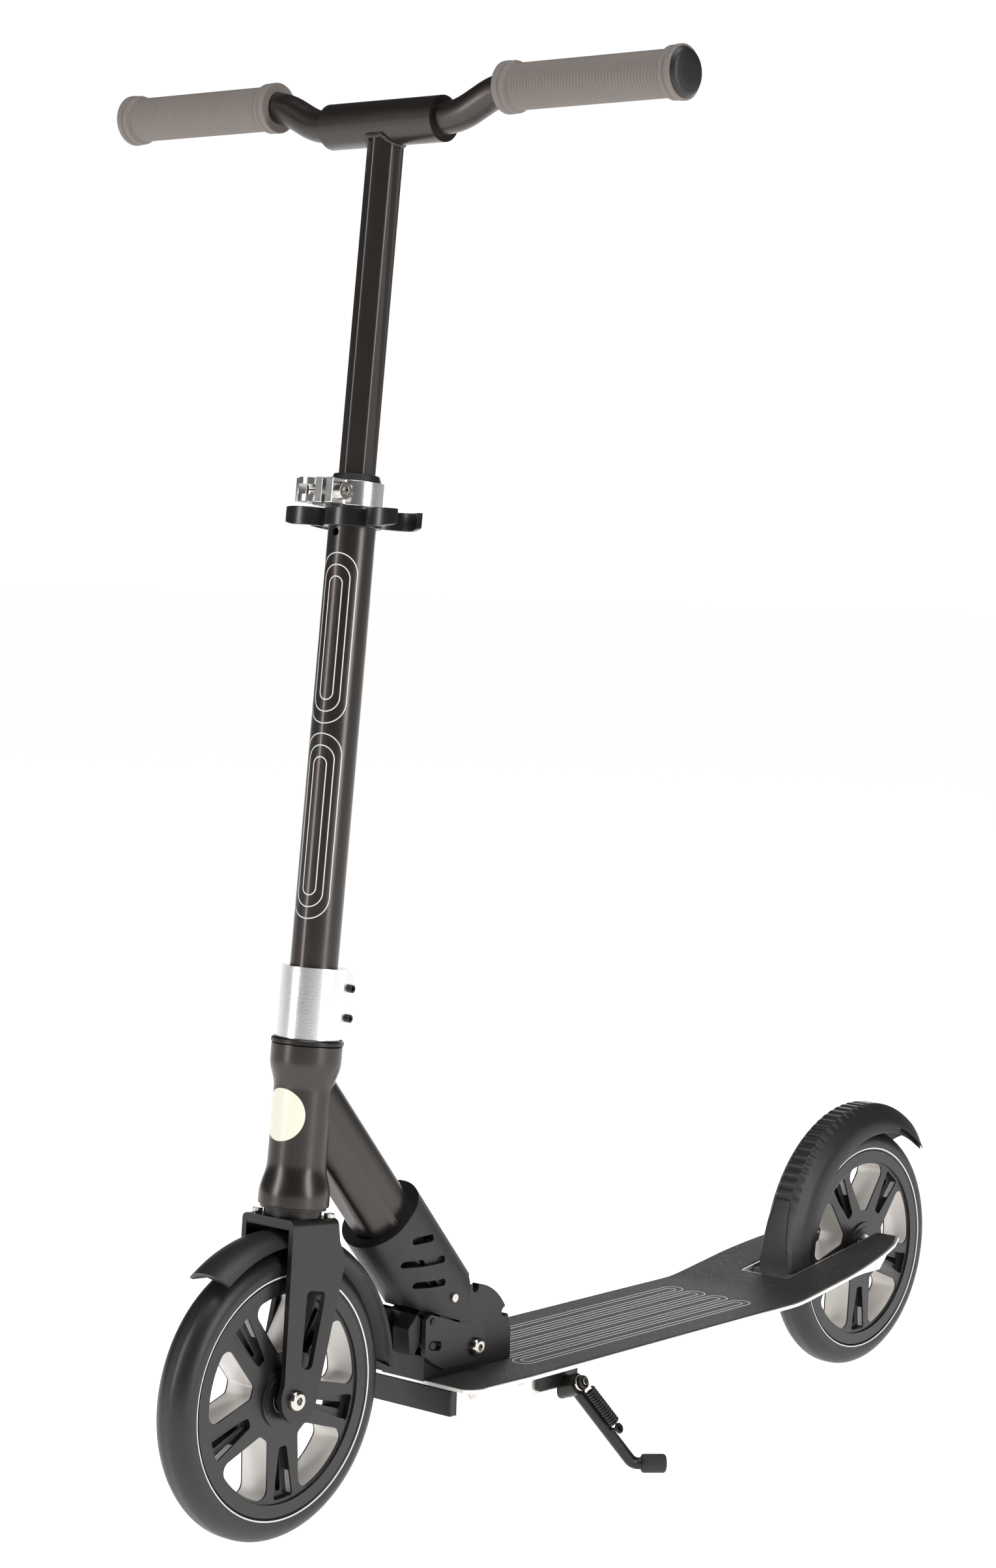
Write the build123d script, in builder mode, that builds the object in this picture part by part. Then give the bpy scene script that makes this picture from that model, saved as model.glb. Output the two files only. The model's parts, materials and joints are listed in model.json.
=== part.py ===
"""Folding kick scooter with two large wheels, a telescopic handlebar post, a brake fender and a side stand.

Frame: +X is the direction of travel, +Y the rider's left, +Z up. The origin lies on the floor,
midway between the two wheels' contact points. All sizes are in millimetres.
"""

from build123d import *
import os
from math import atan2, cos, degrees, radians, sin, sqrt, tan

os.makedirs("parts", exist_ok=True)

# ---------------------------------------------------------------- driving dimensions
WHEEL_R = 100.0
WHEELBASE = 710.0
TYRE_HALF = 15.0
RIM_R = 82.0
FRONT_X = WHEELBASE / 2
REAR_X = -FRONT_X
AXLE_R = 4.0

RAKE = 5.16                      # lean of the steering axis from the vertical, degrees
AXIS_FOOT_X = 356.8              # where the steering axis meets the floor
CROWN_TOP = 221.8                # stations along the steering axis
HEAD_LOW, HEAD_HIGH = 229.0, 339.0
COLLAR_LOW, COLLAR_HIGH = 343.3, 392.0
REST_LOW, REST_HIGH = 692.5, 705.0
CLAMP_LOW, CLAMP_HIGH = 706.5, 723.5
SLEEVE_T = 970.0
GRIP_T = 987.0
STEM_R = 16.5                    # lower post
STEERER_R = 14.3
HEX_R = 13.2                     # upper post, to its corners
BAR_R = 11.0
BAR_HALF = 250.0
SLEEVE_HALF, SLEEVE_R = 51.0, 15.75

DECK_TOP = 87.5
PLATE_T = 2.5
DECK_FRONT = 215.0
DECK_HALF = 65.0
KEEL_HALF, KEEL_LOW, KEEL_REAR = 44.0, 65.5, -190.0
TAIL_KINK_X, TAIL_END_X, TAIL_SLOPE = -188.0, -363.0, 8.2
SLOT_HALF, SLOT_FRONT = 21.5, -230.0

PIVOT_X, PIVOT_Z = 166.0, 105.0  # fold pivot
TUBE_Z = 111.0                   # height of the down tube's axis above the fold pivot
TUBE_ANGLE, TUBE_R, TUBE_FLAT = 48.9, 19.65, 17.9
TUBE_BACK = 8.0                  # stretches the round sections of tube and cover backwards
WALL_IN, WALL_OUT = 13.0, 19.7   # bracket walls
CHEEK_IN, CHEEK_OUT = 20.0, 24.0
QUADRANT_R, NOTCH_R = 44.5, 42.0
RIDE_NOTCH, FOLD_NOTCH, SPARE_NOTCH = 10.0, 95.0, 153.4
PIN_R, PIN_LIFT = 3.0, 6.5
COVER_R, COVER_WALL = 27.5, 3.5

RUN = 0.05                       # radial clearance of a running fit
GAP = 0.3                        # air between pieces that move past each other

# ---------------------------------------------------------------- working planes
rake = radians(RAKE)
lean = radians(TUBE_ANGLE)
STEER = Plane(origin=(AXIS_FOOT_X, 0, 0), x_dir=(cos(rake), 0, sin(rake)), z_dir=(-sin(rake), 0, cos(rake)))
STEER_SIDE = Plane(origin=(AXIS_FOOT_X, 0, 0), x_dir=(cos(rake), 0, sin(rake)), z_dir=(0, -1, 0))
TUBE = Plane(origin=(PIVOT_X, 0, TUBE_Z), x_dir=(sin(lean), 0, -cos(lean)), z_dir=(cos(lean), 0, sin(lean)))
TUBE_SIDE = Plane(origin=(PIVOT_X, 0, TUBE_Z), x_dir=(cos(lean), 0, sin(lean)), z_dir=(0, -1, 0))
STEER_AXIS = Axis((AXIS_FOOT_X, 0, 0), (-sin(rake), 0, cos(rake)))


def on_axis(u, y, t):
    """Point at u ahead of the steering axis, y to the left, station t."""
    return (AXIS_FOOT_X + u * cos(rake) - t * sin(rake), y, u * sin(rake) + t * cos(rake))


def around_pivot(radius, angle):
    """Point in the XZ plane at a radius and an angle from the fold pivot."""
    return (PIVOT_X + radius * cos(radians(angle)), PIVOT_Z + radius * sin(radians(angle)))


def lateral(x, z, y=0.0):
    """Plane at side position y whose sketch x is +X and sketch y is +Z; it looks along -Y."""
    return Plane(origin=(x, y, z), x_dir=(1, 0, 0), z_dir=(0, -1, 0))


def finish(solid, label):
    """Label a finished piece and write its STEP."""
    solid.label = label
    export_step(solid, f"parts/{label}.step")


def turned(label, x, z, steps):
    """Write a piece turned about a lateral axis: steps are (y from, y to, outer radius, bore radius)."""
    with BuildPart() as piece:
        for y_from, y_to, outer, bore in steps:
            with BuildSketch(lateral(x, z, y_from)):
                Circle(outer)
                if bore:
                    Circle(bore, mode=Mode.SUBTRACT)
            extrude(amount=y_from - y_to)
    finish(piece.part, label)


# ---------------------------------------------------------------- wheels
WINDOWS = 5
WINDOW_START = {"front": 16.0, "rear": 20.0}
BEARING_R, BEARING_W, HUB_HALF, WEB_HALF = 11.0, 7.0, 14.5, 12.5

with BuildSketch() as window:
    with BuildLine():
        lower = Line((31, -4.5), (65, -28.0))
        arc = ThreePointArc(lower @ 1, (71, 0), (65, 28.0))
        upper = Line(arc @ 1, (31, 4.5))
        Line(upper @ 1, lower @ 0)
    make_face()
    fillet(window.vertices().group_by(Axis.X)[-1], 7.0)
    fillet(window.vertices().group_by(Axis.X)[0], 4.0)

with BuildSketch() as slit:
    Polygon((40, -1.4), (66, -2.4), (66, 2.4), (40, 1.4), align=None)
    fillet(slit.vertices(), 1.2)

with BuildSketch() as pocket:
    Polygon((34, -3.6), (70, -9.5), (70, 9.5), (34, 3.6), align=None)
    fillet(pocket.vertices(), 2.5)

POCKET_DEPTH = 5.0

for place, axle_x in (("front", FRONT_X), ("rear", REAR_X)):
    wheel_section = Plane(origin=(axle_x, 0, WHEEL_R), x_dir=(0, 1, 0), z_dir=(1, 0, 0))
    wheel_axis = Axis((axle_x, 0, WHEEL_R), (0, 1, 0))

    with BuildPart() as tyre:
        with BuildSketch(wheel_section):
            with BuildLine():
                crown = Line((-5, WHEEL_R), (5, WHEEL_R))
                left = ThreePointArc(crown @ 1, (12.0, 96.2), (TYRE_HALF, 89.5))
                down = Line(left @ 1, (14.2, RIM_R))
                inner = Line(down @ 1, (-14.2, RIM_R))
                up = Line(inner @ 1, (-TYRE_HALF, 89.5))
                ThreePointArc(up @ 1, (-12.0, 96.2), crown @ 0)
            make_face()
        revolve(axis=wheel_axis)
    finish(tyre.part, f"{place}_tyre")

    with BuildPart() as rim:
        with BuildSketch(lateral(axle_x, WHEEL_R, WEB_HALF)):
            Circle(RIM_R)
        extrude(amount=2 * WEB_HALF)
        with BuildSketch(lateral(axle_x, WHEEL_R, 14.0)):
            Circle(RIM_R)
            Circle(73.0, mode=Mode.SUBTRACT)
            Circle(21.0)
        extrude(amount=28.0)
        with BuildSketch(lateral(axle_x, WHEEL_R, HUB_HALF)):
            Circle(17.0)
        extrude(amount=2 * HUB_HALF)
        start = WINDOW_START[place]
        with BuildSketch(lateral(axle_x, WHEEL_R, 20.0)):
            with PolarLocations(0, WINDOWS, start):
                add(window.sketch)
            with PolarLocations(0, WINDOWS, start + 180.0 / WINDOWS):
                add(slit.sketch)
        extrude(amount=40.0, mode=Mode.SUBTRACT)
        for y_out in (WEB_HALF, POCKET_DEPTH - WEB_HALF):
            with BuildSketch(lateral(axle_x, WHEEL_R, y_out)):
                with PolarLocations(0, WINDOWS, start + 180.0 / WINDOWS):
                    add(pocket.sketch)
            extrude(amount=POCKET_DEPTH, mode=Mode.SUBTRACT)
        with BuildSketch(lateral(axle_x, WHEEL_R, HUB_HALF)):
            Circle(BEARING_R)
        extrude(amount=BEARING_W, mode=Mode.SUBTRACT)
        with BuildSketch(lateral(axle_x, WHEEL_R, -HUB_HALF)):
            Circle(BEARING_R)
        extrude(amount=-BEARING_W, mode=Mode.SUBTRACT)
        with BuildSketch(lateral(axle_x, WHEEL_R, 20.0)):
            Circle(9.0)
        extrude(amount=40.0, mode=Mode.SUBTRACT)
    finish(rim.part, f"{place}_rim")

    turned(f"{place}_wheel_bearings", axle_x, WHEEL_R, [
        (HUB_HALF - BEARING_W, HUB_HALF, BEARING_R, AXLE_R + RUN),
        (-HUB_HALF, BEARING_W - HUB_HALF, BEARING_R, AXLE_R + RUN)])

# ---------------------------------------------------------------- deck
def deck_strip(low, high, half):
    """Sheet that follows the deck's side profile between two heights above the keel top."""
    run = TAIL_KINK_X - (TAIL_END_X - 10)
    rise = run * tan(radians(TAIL_SLOPE))
    with BuildPart() as strip:
        with BuildSketch(lateral(0, DECK_TOP, half)):
            with BuildLine():
                FilletPolyline((DECK_FRONT + 5, high), (TAIL_KINK_X, high),
                               (TAIL_KINK_X - run, high + rise), radius=160)
                Line((TAIL_KINK_X - run, high + rise), (TAIL_KINK_X - run, low + rise))
                FilletPolyline((TAIL_KINK_X - run, low + rise), (TAIL_KINK_X, low),
                               (DECK_FRONT + 5, low), radius=160 - low + high)
                Line((DECK_FRONT + 5, low), (DECK_FRONT + 5, high))
            make_face()
        extrude(amount=2 * half)
    return strip.part


def deck_outline(inset):
    """Plan outline of the deck with the slot for the rear wheel, drawn inset from the edge."""
    half = DECK_HALF - inset
    with BuildSketch() as plan:
        with BuildLine():
            front = Line((DECK_FRONT - inset, 0), (DECK_FRONT - inset, 54 - inset))
            corner = ThreePointArc(front @ 1, (209.5 - inset, 60.5 - inset), (197, 62.5 - inset))
            flank = Line(corner @ 1, (150, half))
            side = Line(flank @ 1, (-240, half))
            taper = ThreePointArc(side @ 1, (-305, 60.5 - inset), (-345, 52.0 - inset))
            tip = Line(taper @ 1, (TAIL_END_X + inset, 44 - inset))
            end = Line(tip @ 1, (TAIL_END_X + inset, SLOT_HALF + inset))
            slot = Line(end @ 1, (SLOT_FRONT + inset, SLOT_HALF + inset))
            Line(slot @ 1, (SLOT_FRONT + inset, 0))
            Line((SLOT_FRONT + inset, 0), (DECK_FRONT - inset, 0))
        make_face()
        mirror(about=Plane.XZ)
    return plan.sketch


SCREW_X = (192.0, 138.0)
SCREW_Z = 79.0
CAP_T = 6.0

with BuildPart() as deck:
    with BuildSketch(Plane.XY.offset(60)):
        add(deck_outline(0.0))
    extrude(amount=80)
    add(deck_strip(-PLATE_T, 0.0, DECK_HALF + 1), mode=Mode.INTERSECT)
    with BuildSketch(Plane.YZ.offset(KEEL_REAR)):
        with Locations((0, (KEEL_LOW + DECK_TOP - PLATE_T) / 2 + 0.5)):
            Rectangle(2 * KEEL_HALF, DECK_TOP - PLATE_T - KEEL_LOW + 1)
    extrude(amount=DECK_FRONT - CAP_T - KEEL_REAR)
    with BuildSketch(Plane.YZ.offset(KEEL_REAR - 1)):
        with Locations((0, (KEEL_LOW + DECK_TOP - PLATE_T) / 2)):
            with GridLocations(28.4, 0, 3, 1):
                Rectangle(25.6, DECK_TOP - PLATE_T - KEEL_LOW - 5)
    extrude(amount=DECK_FRONT - KEEL_REAR + 1, mode=Mode.SUBTRACT)
    for x in SCREW_X:
        with BuildSketch(lateral(x, SCREW_Z, KEEL_HALF + 1)):
            Circle(2.6)
        extrude(amount=2 * KEEL_HALF + 2, mode=Mode.SUBTRACT)
finish(deck.part, "deck")

TAPE_T = 0.8
BRACKET_FRONT, BRACKET_REAR = 218.0, 121.0
with BuildPart() as tape:
    with BuildSketch(Plane.XY.offset(60)):
        add(deck_outline(2.2))
        with Locations(((BRACKET_FRONT + BRACKET_REAR) / 2, 0)):
            Rectangle(BRACKET_FRONT - BRACKET_REAR + 1, 2 * WALL_OUT + 1, mode=Mode.SUBTRACT)
    extrude(amount=80)
    add(deck_strip(0.0, TAPE_T, DECK_HALF + 1), mode=Mode.INTERSECT)
finish(tape.part, "grip_tape")

with BuildPart() as cap:
    with BuildSketch(Plane.YZ.offset(DECK_FRONT - CAP_T)):
        with Locations((0, (KEEL_LOW + DECK_TOP - PLATE_T) / 2)):
            RectangleRounded(2 * KEEL_HALF - 1, DECK_TOP - PLATE_T - KEEL_LOW - 0.4, 1.5)
    extrude(amount=CAP_T)
    with BuildSketch(Plane.YZ.offset(DECK_FRONT - CAP_T - 10)):
        with Locations((0, (KEEL_LOW + DECK_TOP - PLATE_T) / 2)):
            with GridLocations(28.4, 0, 3, 1):
                Rectangle(25.2, DECK_TOP - PLATE_T - KEEL_LOW - 5.4)
    extrude(amount=10)
    fillet(cap.faces().sort_by(Axis.X)[-1].edges(), 1.0)
finish(cap.part, "deck_front_cap")

with BuildPart() as side_screws:
    for side in (1, -1):
        for x in SCREW_X:
            with BuildSketch(lateral(x, SCREW_Z, side * KEEL_HALF)):
                Circle(4.2)
            extrude(amount=-side * 1.6, taper=20)
            with BuildSketch(lateral(x, SCREW_Z, side * KEEL_HALF)):
                Circle(2.5)
            extrude(amount=side * 8)
finish(side_screws.part, "deck_side_screws")

# ---------------------------------------------------------------- folding bracket on the deck
PIVOT_BOLT_R = 4.0
BASE_TOP = DECK_TOP + 5.0
BLOCK_TOP = 106.0

with BuildPart() as bracket:
    with BuildSketch(Plane.XY.offset(DECK_TOP)):
        with Locations(((BRACKET_FRONT + BRACKET_REAR) / 2, 0)):
            Rectangle(BRACKET_FRONT - BRACKET_REAR, 2 * WALL_OUT)
    extrude(amount=BASE_TOP - DECK_TOP)
    rear_top = PIVOT_Z + sqrt(QUADRANT_R ** 2 - (PIVOT_X - BRACKET_REAR - 1.0) ** 2)
    for y_out in (WALL_OUT, -WALL_IN):
        with BuildSketch(lateral(0, 0, y_out)):
            with BuildLine():
                back = Line((BRACKET_REAR, DECK_TOP), (BRACKET_REAR, rear_top))
                arc_start = Line(back @ 1, (BRACKET_REAR + 1.0, rear_top))
                quadrant = ThreePointArc(arc_start @ 1, around_pivot(QUADRANT_R, 80), around_pivot(QUADRANT_R, 4))
                step = Line(quadrant @ 1, (BRACKET_FRONT - 8, BLOCK_TOP))
                top = Line(step @ 1, (BRACKET_FRONT, BLOCK_TOP))
                nose = Line(top @ 1, (BRACKET_FRONT, DECK_TOP))
                Line(nose @ 1, back @ 0)
            make_face()
            for angle in (RIDE_NOTCH, FOLD_NOTCH, SPARE_NOTCH):
                with Locations(Location((*around_pivot(NOTCH_R + 10, angle), 0), (0, 0, angle))):
                    SlotOverall(20 + 2 * (PIN_R + GAP), 2 * (PIN_R + GAP), mode=Mode.SUBTRACT)
        extrude(amount=WALL_OUT - WALL_IN)
    with BuildSketch(Plane.XY.offset(BASE_TOP)):
        with Locations((BRACKET_FRONT - 2.5, 0)):
            Rectangle(5, 2 * WALL_IN)
    extrude(amount=BLOCK_TOP - BASE_TOP)
    with BuildSketch(lateral(PIVOT_X, PIVOT_Z, WALL_OUT)):
        Circle(PIVOT_BOLT_R)
    extrude(amount=2 * WALL_OUT, mode=Mode.SUBTRACT)
finish(bracket.part, "folding_bracket")

with BuildPart() as pivot_bolt:
    with BuildSketch(lateral(PIVOT_X, PIVOT_Z, CHEEK_OUT + GAP)):
        Circle(PIVOT_BOLT_R)
    extrude(amount=2 * (CHEEK_OUT + GAP) + 6)
    with BuildSketch(lateral(PIVOT_X, PIVOT_Z, CHEEK_OUT + GAP)):
        Circle(6.5)
    extrude(amount=-4.5)
    fillet(pivot_bolt.faces().sort_by(Axis.Y)[-1].edges(), 2.4)
    with BuildSketch(lateral(PIVOT_X, PIVOT_Z, CHEEK_OUT + GAP + 4.5)):
        RegularPolygon(2.6, 6)
    extrude(amount=3, mode=Mode.SUBTRACT)
finish(pivot_bolt.part, "fold_pivot_bolt")


def nut(label, x, z, y, across, height, bolt_r):
    """Hexagon nut whose inner face is at -y, around a lateral bolt."""
    with BuildPart() as hexagon:
        with BuildSketch(lateral(x, z, -y)):
            RegularPolygon(across / 2, 6, major_radius=False)
            Circle(bolt_r, mode=Mode.SUBTRACT)
        extrude(amount=height)
    finish(hexagon.part, label)


nut("fold_pivot_nut", PIVOT_X, PIVOT_Z, CHEEK_OUT + GAP, 13, 5.5, PIVOT_BOLT_R)

# ---------------------------------------------------------------- rear axle carrier, brake and side stand
DROPOUT_IN, DROPOUT_T = 22.5, 4.0
HINGE_X, HINGE_Z, HINGE_R = -244.0, 82.0, 2.5

with BuildPart() as dropouts:
    slope = tan(radians(TAIL_SLOPE))
    under = DECK_TOP - PLATE_T
    for y in (DROPOUT_IN + DROPOUT_T, -DROPOUT_IN):
        with BuildSketch(lateral(0, 0, y)):
            with BuildLine():
                Polyline((-226, under + 38 * slope), (-226, 76), (-262, 76), (-338, 82), (-362, 82), (-372, 92),
                         (-372, 101), (-366, under + 178 * slope), (-226, under + 38 * slope))
            make_face()
            with Locations((REAR_X, WHEEL_R)):
                Circle(AXLE_R, mode=Mode.SUBTRACT)
            with Locations((HINGE_X, HINGE_Z)):
                Circle(HINGE_R, mode=Mode.SUBTRACT)
        extrude(amount=DROPOUT_T)
finish(dropouts.part, "dropout_plates")

SPACER_GAP = HUB_HALF + GAP
turned("rear_axle_spacers", REAR_X, WHEEL_R, [(SPACER_GAP, DROPOUT_IN, 7.0, AXLE_R),
                                              (-DROPOUT_IN, -SPACER_GAP, 7.0, AXLE_R)])
turned("front_axle_spacers", FRONT_X, WHEEL_R, [(SPACER_GAP, 20.0, 7.0, AXLE_R),
                                                (-20.0, -SPACER_GAP, 7.0, AXLE_R)])

for place, axle_x, face in (("front", FRONT_X, 24.0), ("rear", REAR_X, DROPOUT_IN + DROPOUT_T)):
    with BuildPart() as axle:
        with BuildSketch(lateral(axle_x, WHEEL_R, face)):
            Circle(AXLE_R)
        extrude(amount=2 * face + 6.5)
        with BuildSketch(lateral(axle_x, WHEEL_R, face)):
            Circle(7.0)
        extrude(amount=-4.5)
        fillet(axle.faces().sort_by(Axis.Y)[-1].edges(), 2.6)
        with BuildSketch(lateral(axle_x, WHEEL_R, face + 4.5)):
            RegularPolygon(3.0, 6)
        extrude(amount=3, mode=Mode.SUBTRACT)
    finish(axle.part, f"{place}_axle_bolt")
    nut(f"{place}_axle_nut", axle_x, WHEEL_R, face, 13, 6.0, AXLE_R)

turned("fender_hinge_pin", HINGE_X, HINGE_Z, [(-DROPOUT_IN - DROPOUT_T - 1.5, DROPOUT_IN + DROPOUT_T + 1.5,
                                               HINGE_R, 0)])

FENDER_X, FENDER_Z = REAR_X - 6.0, WHEEL_R + 2.0      # the fender's arc has its own centre
FENDER_OUT, FENDER_WALL, FENDER_HALF, SKIRT_IN = 119.0, 3.5, 20.0, 17.2
FENDER_FROM, FENDER_TO = -6.0, 136.0
SKIRT_R, SKIRT_X, SKIRT_Z = 102.8, REAR_X - 13.8, WHEEL_R - 6.7   # the curve that trims the skirts
KNUCKLE_R, KNUCKLE_IN = 5.5, 9.0   # KNUCKLE_IN is half the width of the return spring's room
fender_axis = Axis((FENDER_X, 0, FENDER_Z), (0, -1, 0))


def fender_section(angle):
    """Plane on the ray from the fender's centre at an angle from +X; sketch x is +Y, sketch y is outwards."""
    return Plane(origin=(FENDER_X, 0, FENDER_Z), x_dir=(0, 1, 0), z_dir=(sin(radians(angle)), 0, -cos(radians(angle))))


with BuildPart() as brake:
    with BuildSketch(fender_section(FENDER_FROM)):
        with BuildLine():
            outside = Polyline((0, FENDER_OUT), (8, FENDER_OUT), (15.5, 113.5), (19.3, 104), (FENDER_HALF, 97),
                               (FENDER_HALF, 86), (SKIRT_IN, 86))
            Polyline(outside @ 1, (SKIRT_IN, 97), (16.3, 103), (13, 110.8), (6.6, FENDER_OUT - FENDER_WALL),
                     (0, FENDER_OUT - FENDER_WALL), (0, FENDER_OUT))
        make_face()
        mirror(about=Plane.YZ)
    revolve(axis=fender_axis, revolution_arc=FENDER_TO - FENDER_FROM)
    with BuildSketch(lateral(HINGE_X, HINGE_Z, FENDER_HALF)):
        Circle(KNUCKLE_R)
        Polygon((-KNUCKLE_R, 0), (KNUCKLE_R, 0), (0.5, 13), (-8, 13), align=None)
    extrude(amount=2 * FENDER_HALF)
    with BuildSketch(lateral(HINGE_X, HINGE_Z, FENDER_HALF)):
        Circle(HINGE_R + RUN)
    extrude(amount=2 * FENDER_HALF, mode=Mode.SUBTRACT)
    with BuildSketch(lateral(HINGE_X, HINGE_Z, KNUCKLE_IN)):
        Circle(KNUCKLE_R + 1)
    extrude(amount=2 * KNUCKLE_IN, mode=Mode.SUBTRACT)
    with BuildSketch(lateral(REAR_X, WHEEL_R, SKIRT_IN)):
        Circle(103.0)
    extrude(amount=2 * SKIRT_IN, mode=Mode.SUBTRACT)
    with BuildSketch(lateral(SKIRT_X, SKIRT_Z, FENDER_HALF + 1)):
        Circle(SKIRT_R)
    extrude(amount=2 * FENDER_HALF + 2, mode=Mode.SUBTRACT)
finish(brake.part, "brake_fender")

COIL_HALF, COIL_WIRE = KNUCKLE_IN - 0.5, 1.8
with BuildPart() as return_spring:
    with BuildSketch(lateral(HINGE_X, HINGE_Z, COIL_HALF)):
        Circle(HINGE_R + COIL_WIRE)
        Circle(HINGE_R, mode=Mode.SUBTRACT)
    extrude(amount=2 * COIL_HALF)
    for y in (COIL_HALF, COIL_WIRE - COIL_HALF):       # arms that press up against the deck
        with BuildSketch(lateral(HINGE_X, HINGE_Z, y)):
            Polygon((0, HINGE_R), (0, HINGE_R + COIL_WIRE), (26, 7.1), (26, 5.3), align=None)
        extrude(amount=COIL_WIRE)
finish(return_spring.part, "fender_spring")

PAD_FROM, PAD_TO, PAD_R = 58.0, 104.0, 109.5
with BuildPart() as pad:
    with BuildSketch(fender_section(PAD_FROM)):
        with Locations((0, (FENDER_OUT - FENDER_WALL + PAD_R) / 2)):
            Rectangle(2 * 6.6, FENDER_OUT - FENDER_WALL - PAD_R)
    revolve(axis=fender_axis, revolution_arc=PAD_TO - PAD_FROM)
finish(pad.part, "brake_pad")

STAND_X, STAND_Y, STAND_Z = 88.0, 53.0, 68.0
STAND_TILT = 23.3                # lean of the stand's pivot from the lateral direction
tilt = radians(STAND_TILT)
STAND_AXIS = Vector(0, cos(tilt), sin(tilt))
LEG_R, FOOT_R = 4.5, 7.0
LEG_END = (47.0, 79.3, FOOT_R)
FOOT_END = (34.0, 92.0, FOOT_R)
stand_plane = Plane(origin=(STAND_X, STAND_Y, STAND_Z), x_dir=(1, 0, 0), z_dir=tuple(STAND_AXIS))

with BuildPart() as stand_bracket:
    with BuildSketch(lateral(98, 75, KEEL_HALF + 3)):
        RectangleRounded(46, 15, 3)
    extrude(amount=3)
    with BuildSketch(stand_plane.offset(-12)):
        Circle(7.5)
    extrude(amount=7)
    with BuildSketch(Plane.XZ.offset(-KEEL_HALF)):
        with Locations((STAND_X, 70)):
            Rectangle(60, 40)
    extrude(amount=20, mode=Mode.SUBTRACT)
    with BuildSketch(stand_plane.offset(-5)):
        Circle(8.5)
    extrude(amount=20, mode=Mode.SUBTRACT)
    with BuildSketch(stand_plane.offset(-8)):
        Circle(3.0)
    extrude(amount=5, mode=Mode.SUBTRACT)
finish(stand_bracket.part, "kickstand_bracket")

STUD_R, HOOK_R = 2.5, 1.3
SPRING_OUT = 11.0                # from the leg's middle to the spring's middle
with BuildPart() as stand_bolt:
    for low, high, radius in ((-8.0, 5.9, 3.0), (5.9, 8.9, 6.0), (8.9, 13.2, STUD_R)):
        with BuildSketch(stand_plane.offset(low)):
            Circle(radius)
        extrude(amount=high - low)
finish(stand_bolt.part, "kickstand_pivot_bolt")

leg_start = Vector(STAND_X, STAND_Y, STAND_Z)
leg_dir = (Vector(*LEG_END) - leg_start).normalized()
PEG_AT = 46.0
peg_plane = Plane(origin=tuple(leg_start + leg_dir * PEG_AT), x_dir=tuple(leg_dir), z_dir=tuple(STAND_AXIS))
with BuildPart() as leg:
    with BuildSketch(stand_plane.offset(-4.6)):
        Circle(8.0)
    extrude(amount=10.1)
    with BuildLine() as leg_path:
        FilletPolyline(tuple(leg_start + leg_dir * 5), LEG_END, FOOT_END, radius=9)
    with BuildSketch(Plane(origin=leg_path.line @ 0, z_dir=leg_path.line % 0)):
        Circle(LEG_R)
    sweep(path=leg_path.line)
    with BuildSketch(peg_plane):
        Circle(1.6)
    extrude(amount=SPRING_OUT + 2.2)
    with BuildSketch(stand_plane.offset(-6)):
        Circle(3.0 + RUN)
    extrude(amount=14, mode=Mode.SUBTRACT)
finish(leg.part, "kickstand_leg")

foot_dir = (Vector(*FOOT_END) - Vector(*LEG_END)).normalized()
FOOT_GRIP = 12.0                 # how far the foot sleeves the leg
foot_start = Vector(*FOOT_END) - foot_dir * FOOT_GRIP
with BuildPart() as foot:
    with BuildSketch(Plane(origin=tuple(foot_start), z_dir=tuple(foot_dir))):
        Circle(FOOT_R)
    extrude(amount=FOOT_GRIP + 7)
    fillet(foot.edges().filter_by(GeomType.CIRCLE), 2.5)
    with BuildSketch(Plane(origin=tuple(foot_start), z_dir=tuple(foot_dir))):
        Circle(LEG_R)
    extrude(amount=FOOT_GRIP, mode=Mode.SUBTRACT)
finish(foot.part, "kickstand_foot")

COIL_R, COIL_FROM, COIL_TO = 4.6, 8.5, 40.0
coil_middle = leg_start + STAND_AXIS * SPRING_OUT
with BuildPart() as stand_spring:
    for along, bore in ((0.0, STUD_R + RUN), (PEG_AT, 1.6)):
        with BuildSketch(Plane(origin=tuple(coil_middle - STAND_AXIS * HOOK_R + leg_dir * along),
                               x_dir=tuple(leg_dir), z_dir=tuple(STAND_AXIS))):
            Circle(bore + 2 * HOOK_R)
            Circle(bore, mode=Mode.SUBTRACT)
        extrude(amount=2 * HOOK_R)
    for start, end in ((STUD_R + HOOK_R, COIL_FROM + 1), (COIL_TO - 1, PEG_AT - 1.6 - HOOK_R)):
        with BuildSketch(Plane(origin=tuple(coil_middle + leg_dir * start), z_dir=tuple(leg_dir))):
            Circle(HOOK_R)
        extrude(amount=end - start)
    with BuildSketch(Plane(origin=tuple(coil_middle + leg_dir * COIL_FROM), z_dir=tuple(leg_dir))):
        Circle(COIL_R)
    extrude(amount=COIL_TO - COIL_FROM)
finish(stand_spring.part, "kickstand_spring")

# ---------------------------------------------------------------- neck: down tube, head tube, cheeks, cover
with BuildPart() as head:
    with BuildSketch(STEER_SIDE):
        with BuildLine():
            Line((17.2, HEAD_LOW), (24.5, HEAD_LOW))
            Line((24.5, HEAD_LOW), (24.5, 235))
            Spline((24.5, 235), (20.4, 258), tangents=((0, 1), (0, 1)))
            Line((20.4, 258), (20.4, 308))
            Spline((20.4, 308), (24.5, 328), tangents=((0, 1), (0, 1)))
            Line((24.5, 328), (24.5, HEAD_HIGH))
            Line((24.5, HEAD_HIGH), (17.2, HEAD_HIGH))
            Line((17.2, HEAD_HIGH), (17.2, HEAD_LOW))
        make_face()
    revolve(axis=STEER_AXIS)
    for low in (HEAD_LOW - 1, HEAD_HIGH - 10):
        with BuildSketch(STEER.offset(low)):
            Circle(21.0)
        extrude(amount=11, mode=Mode.SUBTRACT)
finish(head.part, "head_tube")

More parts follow.
